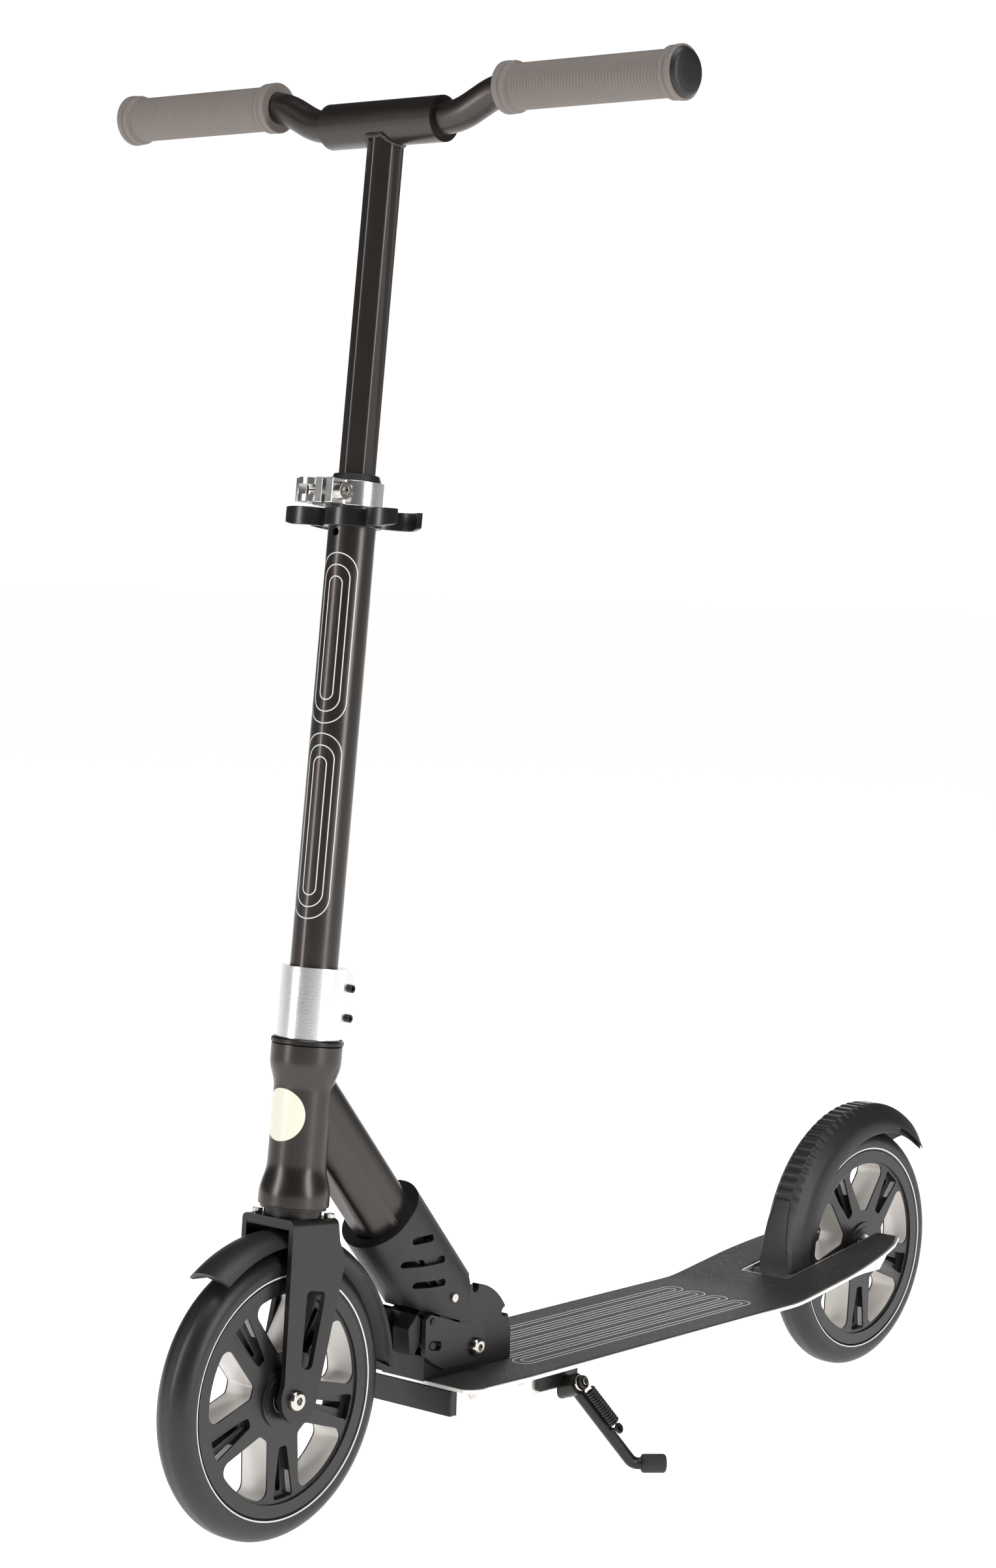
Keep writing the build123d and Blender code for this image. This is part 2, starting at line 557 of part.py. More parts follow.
TUBE_START = 50.0
with BuildPart() as down:
    with BuildSketch(TUBE.offset(TUBE_START)):
        with Locations((-TUBE_BACK / 2, 0)):
            SlotCenterToCenter(TUBE_BACK, 2 * TUBE_R)
        with Locations((TUBE_FLAT + 20, 0)):
            Rectangle(40, 60, mode=Mode.SUBTRACT)
        with Locations((-TUBE_BACK / 2, 0)):
            SlotCenterToCenter(TUBE_BACK, 2 * (TUBE_R - 2.2), mode=Mode.SUBTRACT)
        with Locations((TUBE_FLAT - 1.1, 0)):
            Rectangle(2.2, 2 * sqrt(TUBE_R ** 2 - TUBE_FLAT ** 2) + 6)
        with Locations((TUBE_FLAT + 20, 0)):
            Rectangle(40, 60, mode=Mode.SUBTRACT)
    extrude(amount=250)
    with BuildSketch(TUBE.offset(TUBE_START)):
        with Locations((-TUBE_BACK / 2, 0)):
            SlotCenterToCenter(TUBE_BACK, 2 * TUBE_R + 10)
            SlotCenterToCenter(TUBE_BACK, 2 * TUBE_R, mode=Mode.SUBTRACT)
    extrude(amount=250, mode=Mode.SUBTRACT)
    for y in (CHEEK_IN, 2 - CHEEK_IN):           # pads welded to the cheeks
        with BuildSketch(TUBE_SIDE.offset(-y)):
            with Locations((TUBE_START + 13, 0)):
                Rectangle(24, 14)
        extrude(amount=2)
    with BuildSketch(STEER_SIDE):
        Polygon((-0.01, 180), (60, 180), (60, 400), (-0.01, 400), align=None)
    extrude(amount=60, both=True, mode=Mode.SUBTRACT)
    with BuildSketch(STEER_SIDE):
        with BuildLine():
            Line((0, 200), (24.5, 200))
            Line((24.5, 200), (24.5, 235))
            Spline((24.5, 235), (20.4, 258), tangents=((0, 1), (0, 1)))
            Line((20.4, 258), (20.4, 308))
            Spline((20.4, 308), (24.5, 328), tangents=((0, 1), (0, 1)))
            Line((24.5, 328), (24.5, 380))
            Line((24.5, 380), (0, 380))
            Line((0, 380), (0, 200))
        make_face()
    revolve(axis=STEER_AXIS, mode=Mode.SUBTRACT)
finish(down.part, "down_tube")

CUP_DEPTH = 10.0
with BuildPart() as cups:
    for low, high in ((HEAD_LOW - 2.2, HEAD_LOW), (HEAD_HIGH, HEAD_HIGH + 0.2)):
        with BuildSketch(STEER.offset(low)):
            Circle(22.8)
            Circle(18.0, mode=Mode.SUBTRACT)
        extrude(amount=high - low)
    for low in (HEAD_LOW, HEAD_HIGH - CUP_DEPTH):
        with BuildSketch(STEER.offset(low)):
            Circle(21.0)
            Circle(18.0, mode=Mode.SUBTRACT)
        extrude(amount=CUP_DEPTH)
finish(cups.part, "headset_cups")

LEVER_X, LEVER_Z, LEVER_PIN_R = 214.0, 131.0, 2.5
with BuildPart() as cheeks:
    for y in (CHEEK_OUT, -CHEEK_IN):
        with BuildSketch(lateral(0, 0, y)):
            with BuildLine():
                base = Line((PIVOT_X, PIVOT_Z - 11), (200, 94))
                front = Polyline(base @ 1, (214, 101), (221.5, 108), (221.5, 133), (216, 136.2), (184, 125.5),
                                 (203, 149), (231, 182), (214, 196), (171, 141), (157, 115))
                back = ThreePointArc(front @ 1, (155.3, 102.5), (PIVOT_X, PIVOT_Z - 11))
            make_face()
            with Locations((PIVOT_X, PIVOT_Z)):
                Circle(PIVOT_BOLT_R + RUN, mode=Mode.SUBTRACT)
            with Locations((LEVER_X, LEVER_Z)):
                Circle(LEVER_PIN_R, mode=Mode.SUBTRACT)
            mid = around_pivot(NOTCH_R + PIN_LIFT / 2, RIDE_NOTCH)
            with Locations(Location((*mid, 0), (0, 0, RIDE_NOTCH))):
                SlotCenterToCenter(PIN_LIFT + 0.6, 2 * (PIN_R + GAP), mode=Mode.SUBTRACT)
        extrude(amount=CHEEK_OUT - CHEEK_IN)
finish(cheeks.part, "yoke_cheeks")

SCREW_AT = (196.0, 146.0)
turned("lever_pivot_pin", LEVER_X, LEVER_Z, [(-CHEEK_OUT - 1, CHEEK_OUT + 1, LEVER_PIN_R, 0)])

COVER_TOP = 127.0
for side, name in ((1, "left"), (-1, "right")):
    with BuildPart() as cover:
        with BuildSketch(TUBE.offset(5)):
            with Locations((-TUBE_BACK / 2, 0)):
                SlotCenterToCenter(TUBE_BACK, 2 * COVER_R)
                SlotCenterToCenter(TUBE_BACK, 2 * (COVER_R - COVER_WALL), mode=Mode.SUBTRACT)
        extrude(amount=COVER_TOP - 5)
        with BuildSketch(TUBE.offset(COVER_TOP - 4)):
            with Locations((-TUBE_BACK / 2, 0)):
                SlotCenterToCenter(TUBE_BACK, 2 * COVER_R)
                SlotCenterToCenter(TUBE_BACK, 2 * TUBE_R + 0.1, mode=Mode.SUBTRACT)
        extrude(amount=4)
        with BuildSketch(lateral(0, 0, 40)):
            Polygon((150, 159), (172.5, 157), (176.5, 147), (177.5, 124.5), (224, 140.5), (320, 170),
                    (320, 300), (150, 300), align=None)
        extrude(amount=80, mode=Mode.INTERSECT)
        with BuildSketch(Plane.XZ.offset(-side * 0.1)):
            Rectangle(1000, 1000)
        extrude(amount=side * 60, mode=Mode.SUBTRACT)
        for along, across, length in ((104, 5, 23), (88.5, -3, 40), (71, -8.5, 27)):
            with BuildSketch(TUBE_SIDE.offset(-side * 15)):
                with Locations(Location((along, across, 0), (0, 0, -TUBE_ANGLE))):   # level slots
                    SlotOverall(length, 5.2)
            extrude(amount=-side * 20, mode=Mode.SUBTRACT)
        cheek_pocket = offset(cheeks.part, amount=GAP, mode=Mode.PRIVATE)
        add(cheek_pocket, mode=Mode.SUBTRACT)
        with BuildSketch(lateral(PIVOT_X, PIVOT_Z, WALL_OUT + 0.4)):
            Circle(QUADRANT_R + 0.6)
        extrude(amount=2 * WALL_OUT + 0.8, mode=Mode.SUBTRACT)
        with BuildSketch(lateral(*SCREW_AT, side * 15)):
            Circle(1.6)
        extrude(amount=-side * 20, mode=Mode.SUBTRACT)
    finish(cover.part, f"neck_cover_{name}")

with BuildPart() as cover_screws:
    for side in (1, -1):
        with BuildSketch(lateral(*SCREW_AT, side * COVER_R)):
            Circle(3.2)
        extrude(amount=-side * 1.8)
        with BuildSketch(lateral(*SCREW_AT, side * (COVER_R - 3.2))):
            Circle(1.5)
        extrude(amount=-side * 3.2)
finish(cover_screws.part, "neck_cover_screws")

# ---------------------------------------------------------------- fold lock
pin_at = around_pivot(NOTCH_R + PIN_LIFT, RIDE_NOTCH)
turned("lock_pin", *pin_at, [(-CHEEK_OUT - 0.5, CHEEK_OUT + 0.5, PIN_R, 0)])

ARM_IN, ARM_OUT = 6.5, 12.4
arm_angle = degrees(atan2(pin_at[1] - LEVER_Z, pin_at[0] - LEVER_X))
with BuildPart() as lever:
    for y in (ARM_OUT, -ARM_IN):
        with BuildSketch(lateral(0, 0, y)):
            Polygon((208, 132), (220, 133), (224, 126), (222, 119), (219.5, 110), (209, 108.5), align=None)
            with Locations((LEVER_X, LEVER_Z)):
                Circle(5.8)
                Circle(LEVER_PIN_R + RUN, mode=Mode.SUBTRACT)
            with Locations(Location((pin_at[0] - 0.1, pin_at[1] - 1.0, 0), (0, 0, arm_angle))):
                SlotCenterToCenter(3.4, 2 * (PIN_R + GAP), mode=Mode.SUBTRACT)
        extrude(amount=ARM_OUT - ARM_IN)
    with BuildSketch(lateral(0, 0, CHEEK_IN - 0.5)):
        Polygon((222, 133), (226, 137), (235, 128), (233, 109), (227.5, 109), (223, 116), align=None)
    extrude(amount=2 * CHEEK_IN - 1)
    with BuildSketch(lateral(0, 0, 4.5)):
        Polygon((226, 138), (240, 129), (240, 100), (226, 100), align=None)
    extrude(amount=9, mode=Mode.SUBTRACT)
finish(lever.part, "release_lever")

# ---------------------------------------------------------------- fork and front fender
LEG_OUT, LEG_T = 24.0, 4.0
CROWN_SCREWS = ((-17.0, 18.5), (14.5, -19.2))   # u and y of the crown's screws
CROWN_SCREW_R, CROWN_SHANK_R = 3.7, 2.0
with BuildPart() as fork:
    with BuildSketch(STEER_SIDE.offset(-LEG_OUT)):
        with BuildLine():
            crown_line = Line((-21, CROWN_TOP), (24, CROWN_TOP))
            front = Polyline(crown_line @ 1, (22, 176), (18.8, 110))
            toe = ThreePointArc(front @ 1, (2.0, 83.5), (-13.5, 93))
            rear = Polyline(toe @ 1, (-31, 188), (-30.5, 196), (-24.5, 206), crown_line @ 0)
        make_face()
    extrude(amount=2 * LEG_OUT)
    fillet(fork.edges().filter_by(Axis((0, 0, 0), (cos(rake), 0, sin(rake)))).sort_by(
        Axis((0, 0, 0), (-sin(rake), 0, cos(rake))))[-2:], 4.0)
    with BuildSketch(STEER.offset(CROWN_TOP - LEG_T)):
        Rectangle(100, 2 * (LEG_OUT - LEG_T))
    extrude(amount=-160, mode=Mode.SUBTRACT)
    with BuildSketch(STEER_SIDE.offset(-LEG_OUT - 1)):
        Polygon((-14.5, 172), (4.5, 174), (4.0, 121), (-6.5, 119), align=None)
        fillet(vertices(), 4.0)
    extrude(amount=2 * LEG_OUT + 2, mode=Mode.SUBTRACT)
    with BuildSketch(STEER.offset(CROWN_TOP - LEG_T)):
        with Locations((21.5, 0)):
            Rectangle(4, 2 * (LEG_OUT - LEG_T))
        with Locations((-18.5, 0)):
            Rectangle(4, 2 * (LEG_OUT - LEG_T))
    extrude(amount=-2.5)
    with BuildSketch(STEER.offset(CROWN_TOP - LEG_T)):
        Circle(STEERER_R)
    extrude(amount=COLLAR_HIGH - 8 - CROWN_TOP + LEG_T)
    with BuildSketch(STEER.offset(CROWN_TOP - LEG_T - 1)):
        Circle(STEERER_R - 2.5)
    extrude(amount=COLLAR_HIGH - CROWN_TOP + LEG_T, mode=Mode.SUBTRACT)
    with BuildSketch(lateral(FRONT_X, WHEEL_R, LEG_OUT + 1)):
        Circle(AXLE_R)
    extrude(amount=2 * LEG_OUT + 2, mode=Mode.SUBTRACT)
    for u, y in CROWN_SCREWS:
        with BuildSketch(STEER.offset(CROWN_TOP + 1)):
            with Locations((u, y)):
                Circle(CROWN_SHANK_R)
        extrude(amount=-6, mode=Mode.SUBTRACT)
finish(fork.part, "fork")

with BuildPart() as crown_screws:
    for u, y in CROWN_SCREWS:
        with BuildSketch(STEER.offset(CROWN_TOP)):
            with Locations((u, y)):
                Circle(CROWN_SCREW_R)
        extrude(amount=3.2)
        with BuildSketch(STEER.offset(CROWN_TOP)):
            with Locations((u, y)):
                Circle(CROWN_SHANK_R)
        extrude(amount=-LEG_T)
finish(crown_screws.part, "crown_screws")

MUD_FROM, MUD_TO, MUD_TOP, MUD_EDGE, MUD_HALF, MUD_WALL = 55.0, 178.0, 113.0, 105.5, 19.0, 2.4
front_axis = Axis((FRONT_X, 0, WHEEL_R), (0, -1, 0))
with BuildPart() as mudguard:
    with BuildSketch(Plane(origin=(FRONT_X, 0, WHEEL_R),
                           x_dir=(0, 1, 0), z_dir=(sin(radians(MUD_FROM)), 0, -cos(radians(MUD_FROM))))):
        with BuildLine():
            over = ThreePointArc((-MUD_HALF, MUD_EDGE), (0, MUD_TOP), (MUD_HALF, MUD_EDGE))
            lip_a = Line(over @ 1, (MUD_HALF - 2.2, MUD_EDGE - 1.2))
            below = ThreePointArc(lip_a @ 1, (0, MUD_TOP - MUD_WALL), (2.2 - MUD_HALF, MUD_EDGE - 1.2))
            Line(below @ 1, over @ 0)
        make_face()
    revolve(axis=front_axis, revolution_arc=MUD_TO - MUD_FROM)
finish(mudguard.part, "front_fender")

# ---------------------------------------------------------------- headset, collar, lower post
with BuildPart() as bearings:
    with BuildSketch(STEER.offset(CROWN_TOP)):
        Circle(19.9)
        Circle(STEERER_R, mode=Mode.SUBTRACT)
    extrude(amount=HEAD_LOW - 2.2 - GAP - CROWN_TOP)
    for low, high in ((HEAD_LOW - 2.5, HEAD_LOW + CUP_DEPTH), (HEAD_HIGH - CUP_DEPTH, HEAD_HIGH + 0.5)):
        with BuildSketch(STEER.offset(low)):
            Circle(18.0 - 2 * RUN)
            Circle(STEERER_R, mode=Mode.SUBTRACT)
        extrude(amount=high - low)
finish(bearings.part, "headset_bearings")

with BuildPart() as top_nut:
    with BuildSketch(STEER.offset(HEAD_HIGH + 0.5)):
        Circle(25.0)
        Circle(STEERER_R, mode=Mode.SUBTRACT)
    extrude(amount=COLLAR_LOW - HEAD_HIGH - 0.5)
    chamfer(top_nut.faces().sort_by(Axis.Z)[-1].edges().sort_by(SortBy.RADIUS)[-1], 1.2)
finish(top_nut.part, "headset_nut")

EAR_BACK, EAR_HALF, COLLAR_R, COLLAR_BOLTS, COLLAR_BOLT_R = -33.0, 9.5, 22.0, (357.5, 378.0), 2.0
with BuildPart() as collar:
    with BuildSketch(STEER.offset(COLLAR_LOW)):
        Circle(COLLAR_R)
        with Locations(((EAR_BACK - 10) / 2, 0)):
            RectangleRounded(-EAR_BACK - 10, 2 * EAR_HALF, 2)
        Circle(STEM_R, mode=Mode.SUBTRACT)
        with Locations((-25, 0)):
            Rectangle(30, 2.5, mode=Mode.SUBTRACT)
    extrude(amount=COLLAR_HIGH - COLLAR_LOW)
    with BuildSketch(STEER_SIDE.offset(-EAR_HALF)):
        for t in COLLAR_BOLTS:
            with Locations((-28, t)):
                Circle(COLLAR_BOLT_R)
        for t in (351.0, 368.0):
            with Locations((EAR_BACK, t)):
                Rectangle(10, 2.2)
        Polygon((EAR_BACK, COLLAR_HIGH - 8), (EAR_BACK, COLLAR_HIGH), (EAR_BACK + 8, COLLAR_HIGH), align=None)
    extrude(amount=2 * EAR_HALF, mode=Mode.SUBTRACT)
finish(collar.part, "stem_collar")

with BuildPart() as collar_bolts:
    for t in COLLAR_BOLTS:
        with BuildSketch(STEER_SIDE.offset(-EAR_HALF)):
            with Locations((-28, t)):
                Circle(COLLAR_BOLT_R)
        extrude(amount=2 * EAR_HALF)
        with BuildSketch(STEER_SIDE.offset(-EAR_HALF)):
            with Locations((-28, t)):
                Circle(2.8)
        extrude(amount=-2.6)
        with BuildSketch(STEER_SIDE.offset(-EAR_HALF - 2.6)):
            with Locations((-28, t)):
                RegularPolygon(1.6, 6)
        extrude(amount=1.6, mode=Mode.SUBTRACT)
finish(collar_bolts.part, "collar_bolts")

HOLE_T, HOLE_R = 688.0, 2.7
with BuildPart() as post:
    with BuildSketch(STEER.offset(COLLAR_LOW)):
        Circle(STEM_R)
        Circle(STEM_R - 2.0, mode=Mode.SUBTRACT)
    extrude(amount=CLAMP_HIGH - COLLAR_LOW)
    with BuildSketch(Plane(origin=on_axis(0, 0, HOLE_T), x_dir=(0, 1, 0), z_dir=STEER.x_dir)):
        Circle(HOLE_R)
    extrude(amount=30, mode=Mode.SUBTRACT)
finish(post.part, "lower_post")

REST_Y, REST_IN, REST_OUT = 37.0, 15.6, 19.2
with BuildPart() as rest:
    with BuildSketch(STEER.offset(REST_LOW)):
        Circle(STEM_R + 3.4)
        with Locations((0, REST_Y), (0, -REST_Y)):
            Circle(REST_OUT)
        with Locations((0, REST_Y), (0, -REST_Y)):
            Circle(REST_IN, mode=Mode.SUBTRACT)
        with Locations((0, REST_Y + REST_OUT), (0, -REST_Y - REST_OUT)):
            Rectangle(25, 21, mode=Mode.SUBTRACT)
        Circle(STEM_R, mode=Mode.SUBTRACT)
    extrude(amount=REST_HIGH - REST_LOW)
    with BuildSketch(Plane(origin=on_axis(30, 0, 0), x_dir=(0, 1, 0), z_dir=STEER.x_dir)):
        with BuildLine():
            upper = Line((-62, REST_HIGH), (62, REST_HIGH))
            down_side = Line(upper @ 1, (62, REST_HIGH - 8))
            under = ThreePointArc(down_side @ 1, (0, REST_LOW - 3), (-62, REST_HIGH - 8))
            Line(under @ 1, upper @ 0)
        make_face()
    extrude(amount=-60, mode=Mode.INTERSECT)
finish(rest.part, "grip_rest_clip")

# ---------------------------------------------------------------- quick-release clamp
CLAMP_R, EAR_U, EAR_T, EAR_REACH = 20.0, 25.5, 6.5, 32.0
CAM_R, CAM_GAP = 9.0, 0.3
CAM_Y = -(EAR_T + 1.5 + CAM_R + CAM_GAP)   # the lever's pivot
with BuildPart() as clamp:
    with BuildSketch(STEER.offset(CLAMP_LOW)):
        Circle(CLAMP_R)
        with Locations(((10 + EAR_REACH) / 2, 0)):
            Rectangle(EAR_REACH - 10, 2 * EAR_T + 3)
        Circle(STEM_R, mode=Mode.SUBTRACT)
        with Locations((25, 0)):
            Rectangle(30, 3.0, mode=Mode.SUBTRACT)
    extrude(amount=CLAMP_HIGH - CLAMP_LOW)
    clamp_mid = (CLAMP_LOW + CLAMP_HIGH) / 2
    with BuildSketch(STEER_SIDE.offset(-20)):
        with Locations((EAR_U, clamp_mid)):
            Circle(3.0)
    extrude(amount=40, mode=Mode.SUBTRACT)
finish(clamp.part, "clamp_ring")

ear_face = EAR_T + 1.5
with BuildPart() as clamp_bolt:
    with BuildSketch(STEER_SIDE.offset(-ear_face)):
        with Locations((EAR_U, clamp_mid)):
            Circle(3.0)
    extrude(amount=ear_face - CAM_Y)
    with BuildSketch(STEER_SIDE.offset(-ear_face)):
        with Locations((EAR_U, clamp_mid)):
            Circle(6.0)
    extrude(amount=-6.5)
    with BuildSketch(STEER_SIDE.offset(-ear_face - 6.5)):
        with Locations((EAR_U, clamp_mid)):
            RegularPolygon(3.2, 6)
    extrude(amount=4, mode=Mode.SUBTRACT)
    with BuildSketch(STEER.offset(CLAMP_LOW)):
        with Locations((EAR_U, CAM_Y)):
            Circle(3.0)
    extrude(amount=CLAMP_HIGH - CLAMP_LOW)
finish(clamp_bolt.part, "clamp_bolt")

with BuildPart() as cam:
    with BuildSketch(STEER.offset(CLAMP_LOW + 0.4)):
        with BuildLine():
            knee = Line((EAR_U + 2, CAM_Y - CAM_R + 0.6), (4, -25.5))
            curl = ThreePointArc(knee @ 1, (-18, -24.5), (-33, -15.5))
            tip = Line(curl @ 1, (-36, -19.5))
            back = ThreePointArc(tip @ 1, (-19, -29.5), (4, -30.5))
            root = Line(back @ 1, (EAR_U + 2, CAM_Y - CAM_R - 3.5))
            Line(root @ 1, knee @ 0)
        make_face()
        with Locations((EAR_U, CAM_Y)):
            Circle(CAM_R)
            Circle(3.0 + RUN, mode=Mode.SUBTRACT)
    extrude(amount=CLAMP_HIGH - CLAMP_LOW - 0.8)
    with BuildSketch(STEER.offset(clamp_mid - 3.5)):     # fork for the bolt, open through the lever's swing
        with Locations((EAR_U, CAM_Y)):
            Polygon((-3.8, 20), (-3.8, -5), (-0.5, -5), (12, -15.5), (30, -15.5), (30, 20), align=None)
    extrude(amount=7, mode=Mode.SUBTRACT)
finish(cam.part, "clamp_lever")

INSERT_TOP = 728.5
with BuildPart() as insert:
    with BuildSketch(STEER.offset(694)):
        Circle(STEM_R - 2.0)
    extrude(amount=CLAMP_HIGH - 694)
    with BuildSketch(STEER.offset(CLAMP_HIGH)):
        Circle(17.5)
    extrude(amount=INSERT_TOP - CLAMP_HIGH, taper=20)
    with BuildSketch(STEER.offset(690)):
        RegularPolygon(HEX_R + GAP / cos(radians(30)), 6)
    extrude(amount=45, mode=Mode.SUBTRACT)
finish(insert.part, "post_insert")

# ---------------------------------------------------------------- upper post, bars and grips
UPPER_LOW = 634.0
with BuildPart() as upper:
    with BuildSketch(STEER.offset(UPPER_LOW)):
        RegularPolygon(HEX_R, 6)
        fillet(vertices(), 2.5)
        Circle(9.6, mode=Mode.SUBTRACT)
    extrude(amount=SLEEVE_T - 8 - UPPER_LOW)
    with BuildSketch(STEER_SIDE.offset(-SLEEVE_HALF)):
        with Locations((0, SLEEVE_T)):
            Circle(SLEEVE_R)
    extrude(amount=2 * SLEEVE_HALF)
    with BuildSketch(STEER_SIDE.offset(-SLEEVE_HALF - 1)):
        with Locations((0, SLEEVE_T)):
            Circle(BAR_R + RUN)
    extrude(amount=2 * SLEEVE_HALF + 2, mode=Mode.SUBTRACT)
    for side in (1, -1):
        with BuildSketch(Plane(origin=on_axis(0, 0, SLEEVE_T), x_dir=(0, 1, 0), z_dir=STEER.x_dir)):
            with Locations((side * 36, 0)):
                Circle(3.9 + GAP)
        extrude(amount=-30, mode=Mode.SUBTRACT)
finish(upper.part, "upper_post")

BUTTON_Y, BUTTON_R, BUTTON_TRAVEL = 36.0, 3.9, 4.0
for side, name in ((1, "left"), (-1, "right")):
    with BuildPart() as bar:
        with BuildLine() as bar_path:
            FilletPolyline(on_axis(0, side * 6, SLEEVE_T), on_axis(0, side * 63.5, SLEEVE_T),
                           on_axis(0, side * 98, GRIP_T), on_axis(0, side * (BAR_HALF - 1), GRIP_T), radius=55)
        with BuildSketch(Plane(origin=bar_path.line @ 0, z_dir=bar_path.line % 0)):
            Circle(BAR_R)
            Circle(BAR_R - 2.0, mode=Mode.SUBTRACT)
        sweep(path=bar_path.line)
        with BuildSketch(Plane(origin=on_axis(0, 0, SLEEVE_T), x_dir=(0, 1, 0), z_dir=STEER.x_dir)):
            with Locations((side * BUTTON_Y, 0)):
                Circle(BUTTON_R + GAP)
        extrude(amount=-30, mode=Mode.SUBTRACT)
    finish(bar.part, f"handlebar_{name}")

    with BuildPart() as button:
        with BuildSketch(Plane(origin=on_axis(-7.5, 0, SLEEVE_T), x_dir=(0, 1, 0), z_dir=STEER.x_dir)):
            with Locations((side * BUTTON_Y, 0)):
                Circle(BUTTON_R)
        extrude(amount=-(SLEEVE_R + 2.2 - 7.5))
        fillet(button.edges().sort_by(Axis.X)[0], 1.4)
    finish(button.part, f"bar_button_{name}")

    with BuildPart() as grip:
        for y_from, y_to, radius in ((104.0, 112.5, 17.8), (112.5, 241.5, 15.5), (241.5, BAR_HALF, 17.8)):
            with BuildSketch(STEER_SIDE.offset(-side * y_from)):
                with Locations((0, GRIP_T)):
                    Circle(radius)
                    Circle(BAR_R, mode=Mode.SUBTRACT)
            extrude(amount=-side * (y_to - y_from))
    finish(grip.part, f"grip_{name}")

with BuildPart() as plugs:
    for side in (1, -1):
        with BuildSketch(STEER_SIDE.offset(-side * BAR_HALF)):
            with Locations((0, GRIP_T)):
                Circle(16.5)
        extrude(amount=-side * 4.5, taper=25)
        with BuildSketch(STEER_SIDE.offset(-side * (BAR_HALF - 1))):
            with Locations((0, GRIP_T)):
                Circle(BAR_R)
        extrude(amount=-side * 1.0)
finish(plugs.part, "grip_end_plugs")
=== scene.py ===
# %% [markdown]
# # A folding kick scooter
#
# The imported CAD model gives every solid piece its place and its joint. This script dresses that frame:
# it rounds the edges of the machined pieces, replaces the soft and turned pieces with finer surfaces,
# and gives each finish a procedural material. All lengths below are in millimetres until the moment
# a mesh is made, because the real scooter is drawn in millimetres.

# %% Load the frame
import json
from math import cos, pi, radians, sin

import bmesh
import bpy
import numpy as np
from mathutils import Matrix


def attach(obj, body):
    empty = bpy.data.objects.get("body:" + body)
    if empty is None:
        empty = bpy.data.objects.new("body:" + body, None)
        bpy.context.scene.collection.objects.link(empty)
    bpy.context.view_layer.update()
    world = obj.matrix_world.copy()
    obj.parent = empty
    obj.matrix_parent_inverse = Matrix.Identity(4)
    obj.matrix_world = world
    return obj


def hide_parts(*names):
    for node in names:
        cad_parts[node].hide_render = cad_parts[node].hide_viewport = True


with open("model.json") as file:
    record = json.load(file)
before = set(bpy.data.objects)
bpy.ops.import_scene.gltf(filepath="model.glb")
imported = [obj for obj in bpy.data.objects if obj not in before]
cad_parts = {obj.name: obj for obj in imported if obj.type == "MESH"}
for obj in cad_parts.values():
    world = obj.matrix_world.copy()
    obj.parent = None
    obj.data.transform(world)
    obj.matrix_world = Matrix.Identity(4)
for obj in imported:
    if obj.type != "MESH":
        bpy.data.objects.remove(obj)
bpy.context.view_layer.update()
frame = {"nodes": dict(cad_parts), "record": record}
BODY_OF = {node: body for body, nodes in frame["record"]["behaviour"]["bodies"].items() for node in nodes}

# %% [markdown]
# ## The camera
# The scooter is seen from ahead and to its left, a little above the deck, through a long lens.
# A long lens keeps the two wheels close to the same size. The camera's three directions are worked
# out from its heading, its slope and its small tilt, and set as one matrix.

# %% Camera
HEADING, SLOPE, TILT = 3.8331, -0.0695, 0.0298
forward = np.array([cos(SLOPE) * cos(HEADING), cos(SLOPE) * sin(HEADING), sin(SLOPE)])
level = np.cross(forward, (0, 0, 1))
level /= np.linalg.norm(level)
upright = np.cross(level, forward)
right = cos(TILT) * level + sin(TILT) * upright
up = cos(TILT) * upright - sin(TILT) * level
camera_data = bpy.data.cameras.new("camera")
camera_data.lens = 74.7
camera_data.sensor_width = 36.0
camera_data.clip_end = 50.0
camera = bpy.data.objects.new("camera", camera_data)
bpy.context.collection.objects.link(camera)
camera.matrix_world = Matrix.LocRotScale((1.9439, 1.5012, 0.6726),
                                         Matrix(np.array([right, up, -forward]).T.tolist()), None)
bpy.context.scene.camera = camera

# %% [markdown]
# ## Floor and light
# A pale floor and a pale world make a bright studio. Long soft boxes on the left, right and top draw
# the narrow bright streaks that tell the eye a black tube is round and satin.

# %% Studio
def plain_material(name, colour, rough, glow=0.0):
    """One colour all over, for things that are not part of the scooter."""
    made = bpy.data.materials.new(name)
    made.use_nodes = True
    shader = made.node_tree.nodes["Principled BSDF"]
    shader.inputs["Base Color"].default_value = (*colour, 1)
    shader.inputs["Roughness"].default_value = rough
    shader.inputs["Emission Color"].default_value = (1, 1, 1, 1)
    shader.inputs["Emission Strength"].default_value = glow
    return made


def soft_box(name, place, aim, size, power):
    """Rectangular lamp at place that faces aim, in metres."""
    lamp = bpy.data.lights.new(name, "AREA")
    lamp.shape = "RECTANGLE"
    lamp.size, lamp.size_y = size
    lamp.energy = power
    box = bpy.data.objects.new(name, lamp)
    bpy.context.collection.objects.link(box)
    away = np.array(place, float) - np.array(aim, float)
    away /= np.linalg.norm(away)
    side = np.cross((0, 0, 1), away)
    side /= np.linalg.norm(side)
    box.matrix_world = Matrix.LocRotScale(place,
                                          Matrix(np.array([side, np.cross(away, side), away]).T.tolist()), None)


floor_mesh = bpy.data.meshes.new("floor")
FLOOR = 60.0
floor_mesh.from_pydata([(-FLOOR, -FLOOR, 0), (FLOOR, -FLOOR, 0), (FLOOR, FLOOR, 0), (-FLOOR, FLOOR, 0)], [],
                       [(0, 1, 2, 3)])
floor_mesh.materials.append(plain_material("studio_floor", (0.9, 0.9, 0.9), 0.9, glow=0.92))
floor = bpy.data.objects.new("floor", floor_mesh)
bpy.context.collection.objects.link(floor)

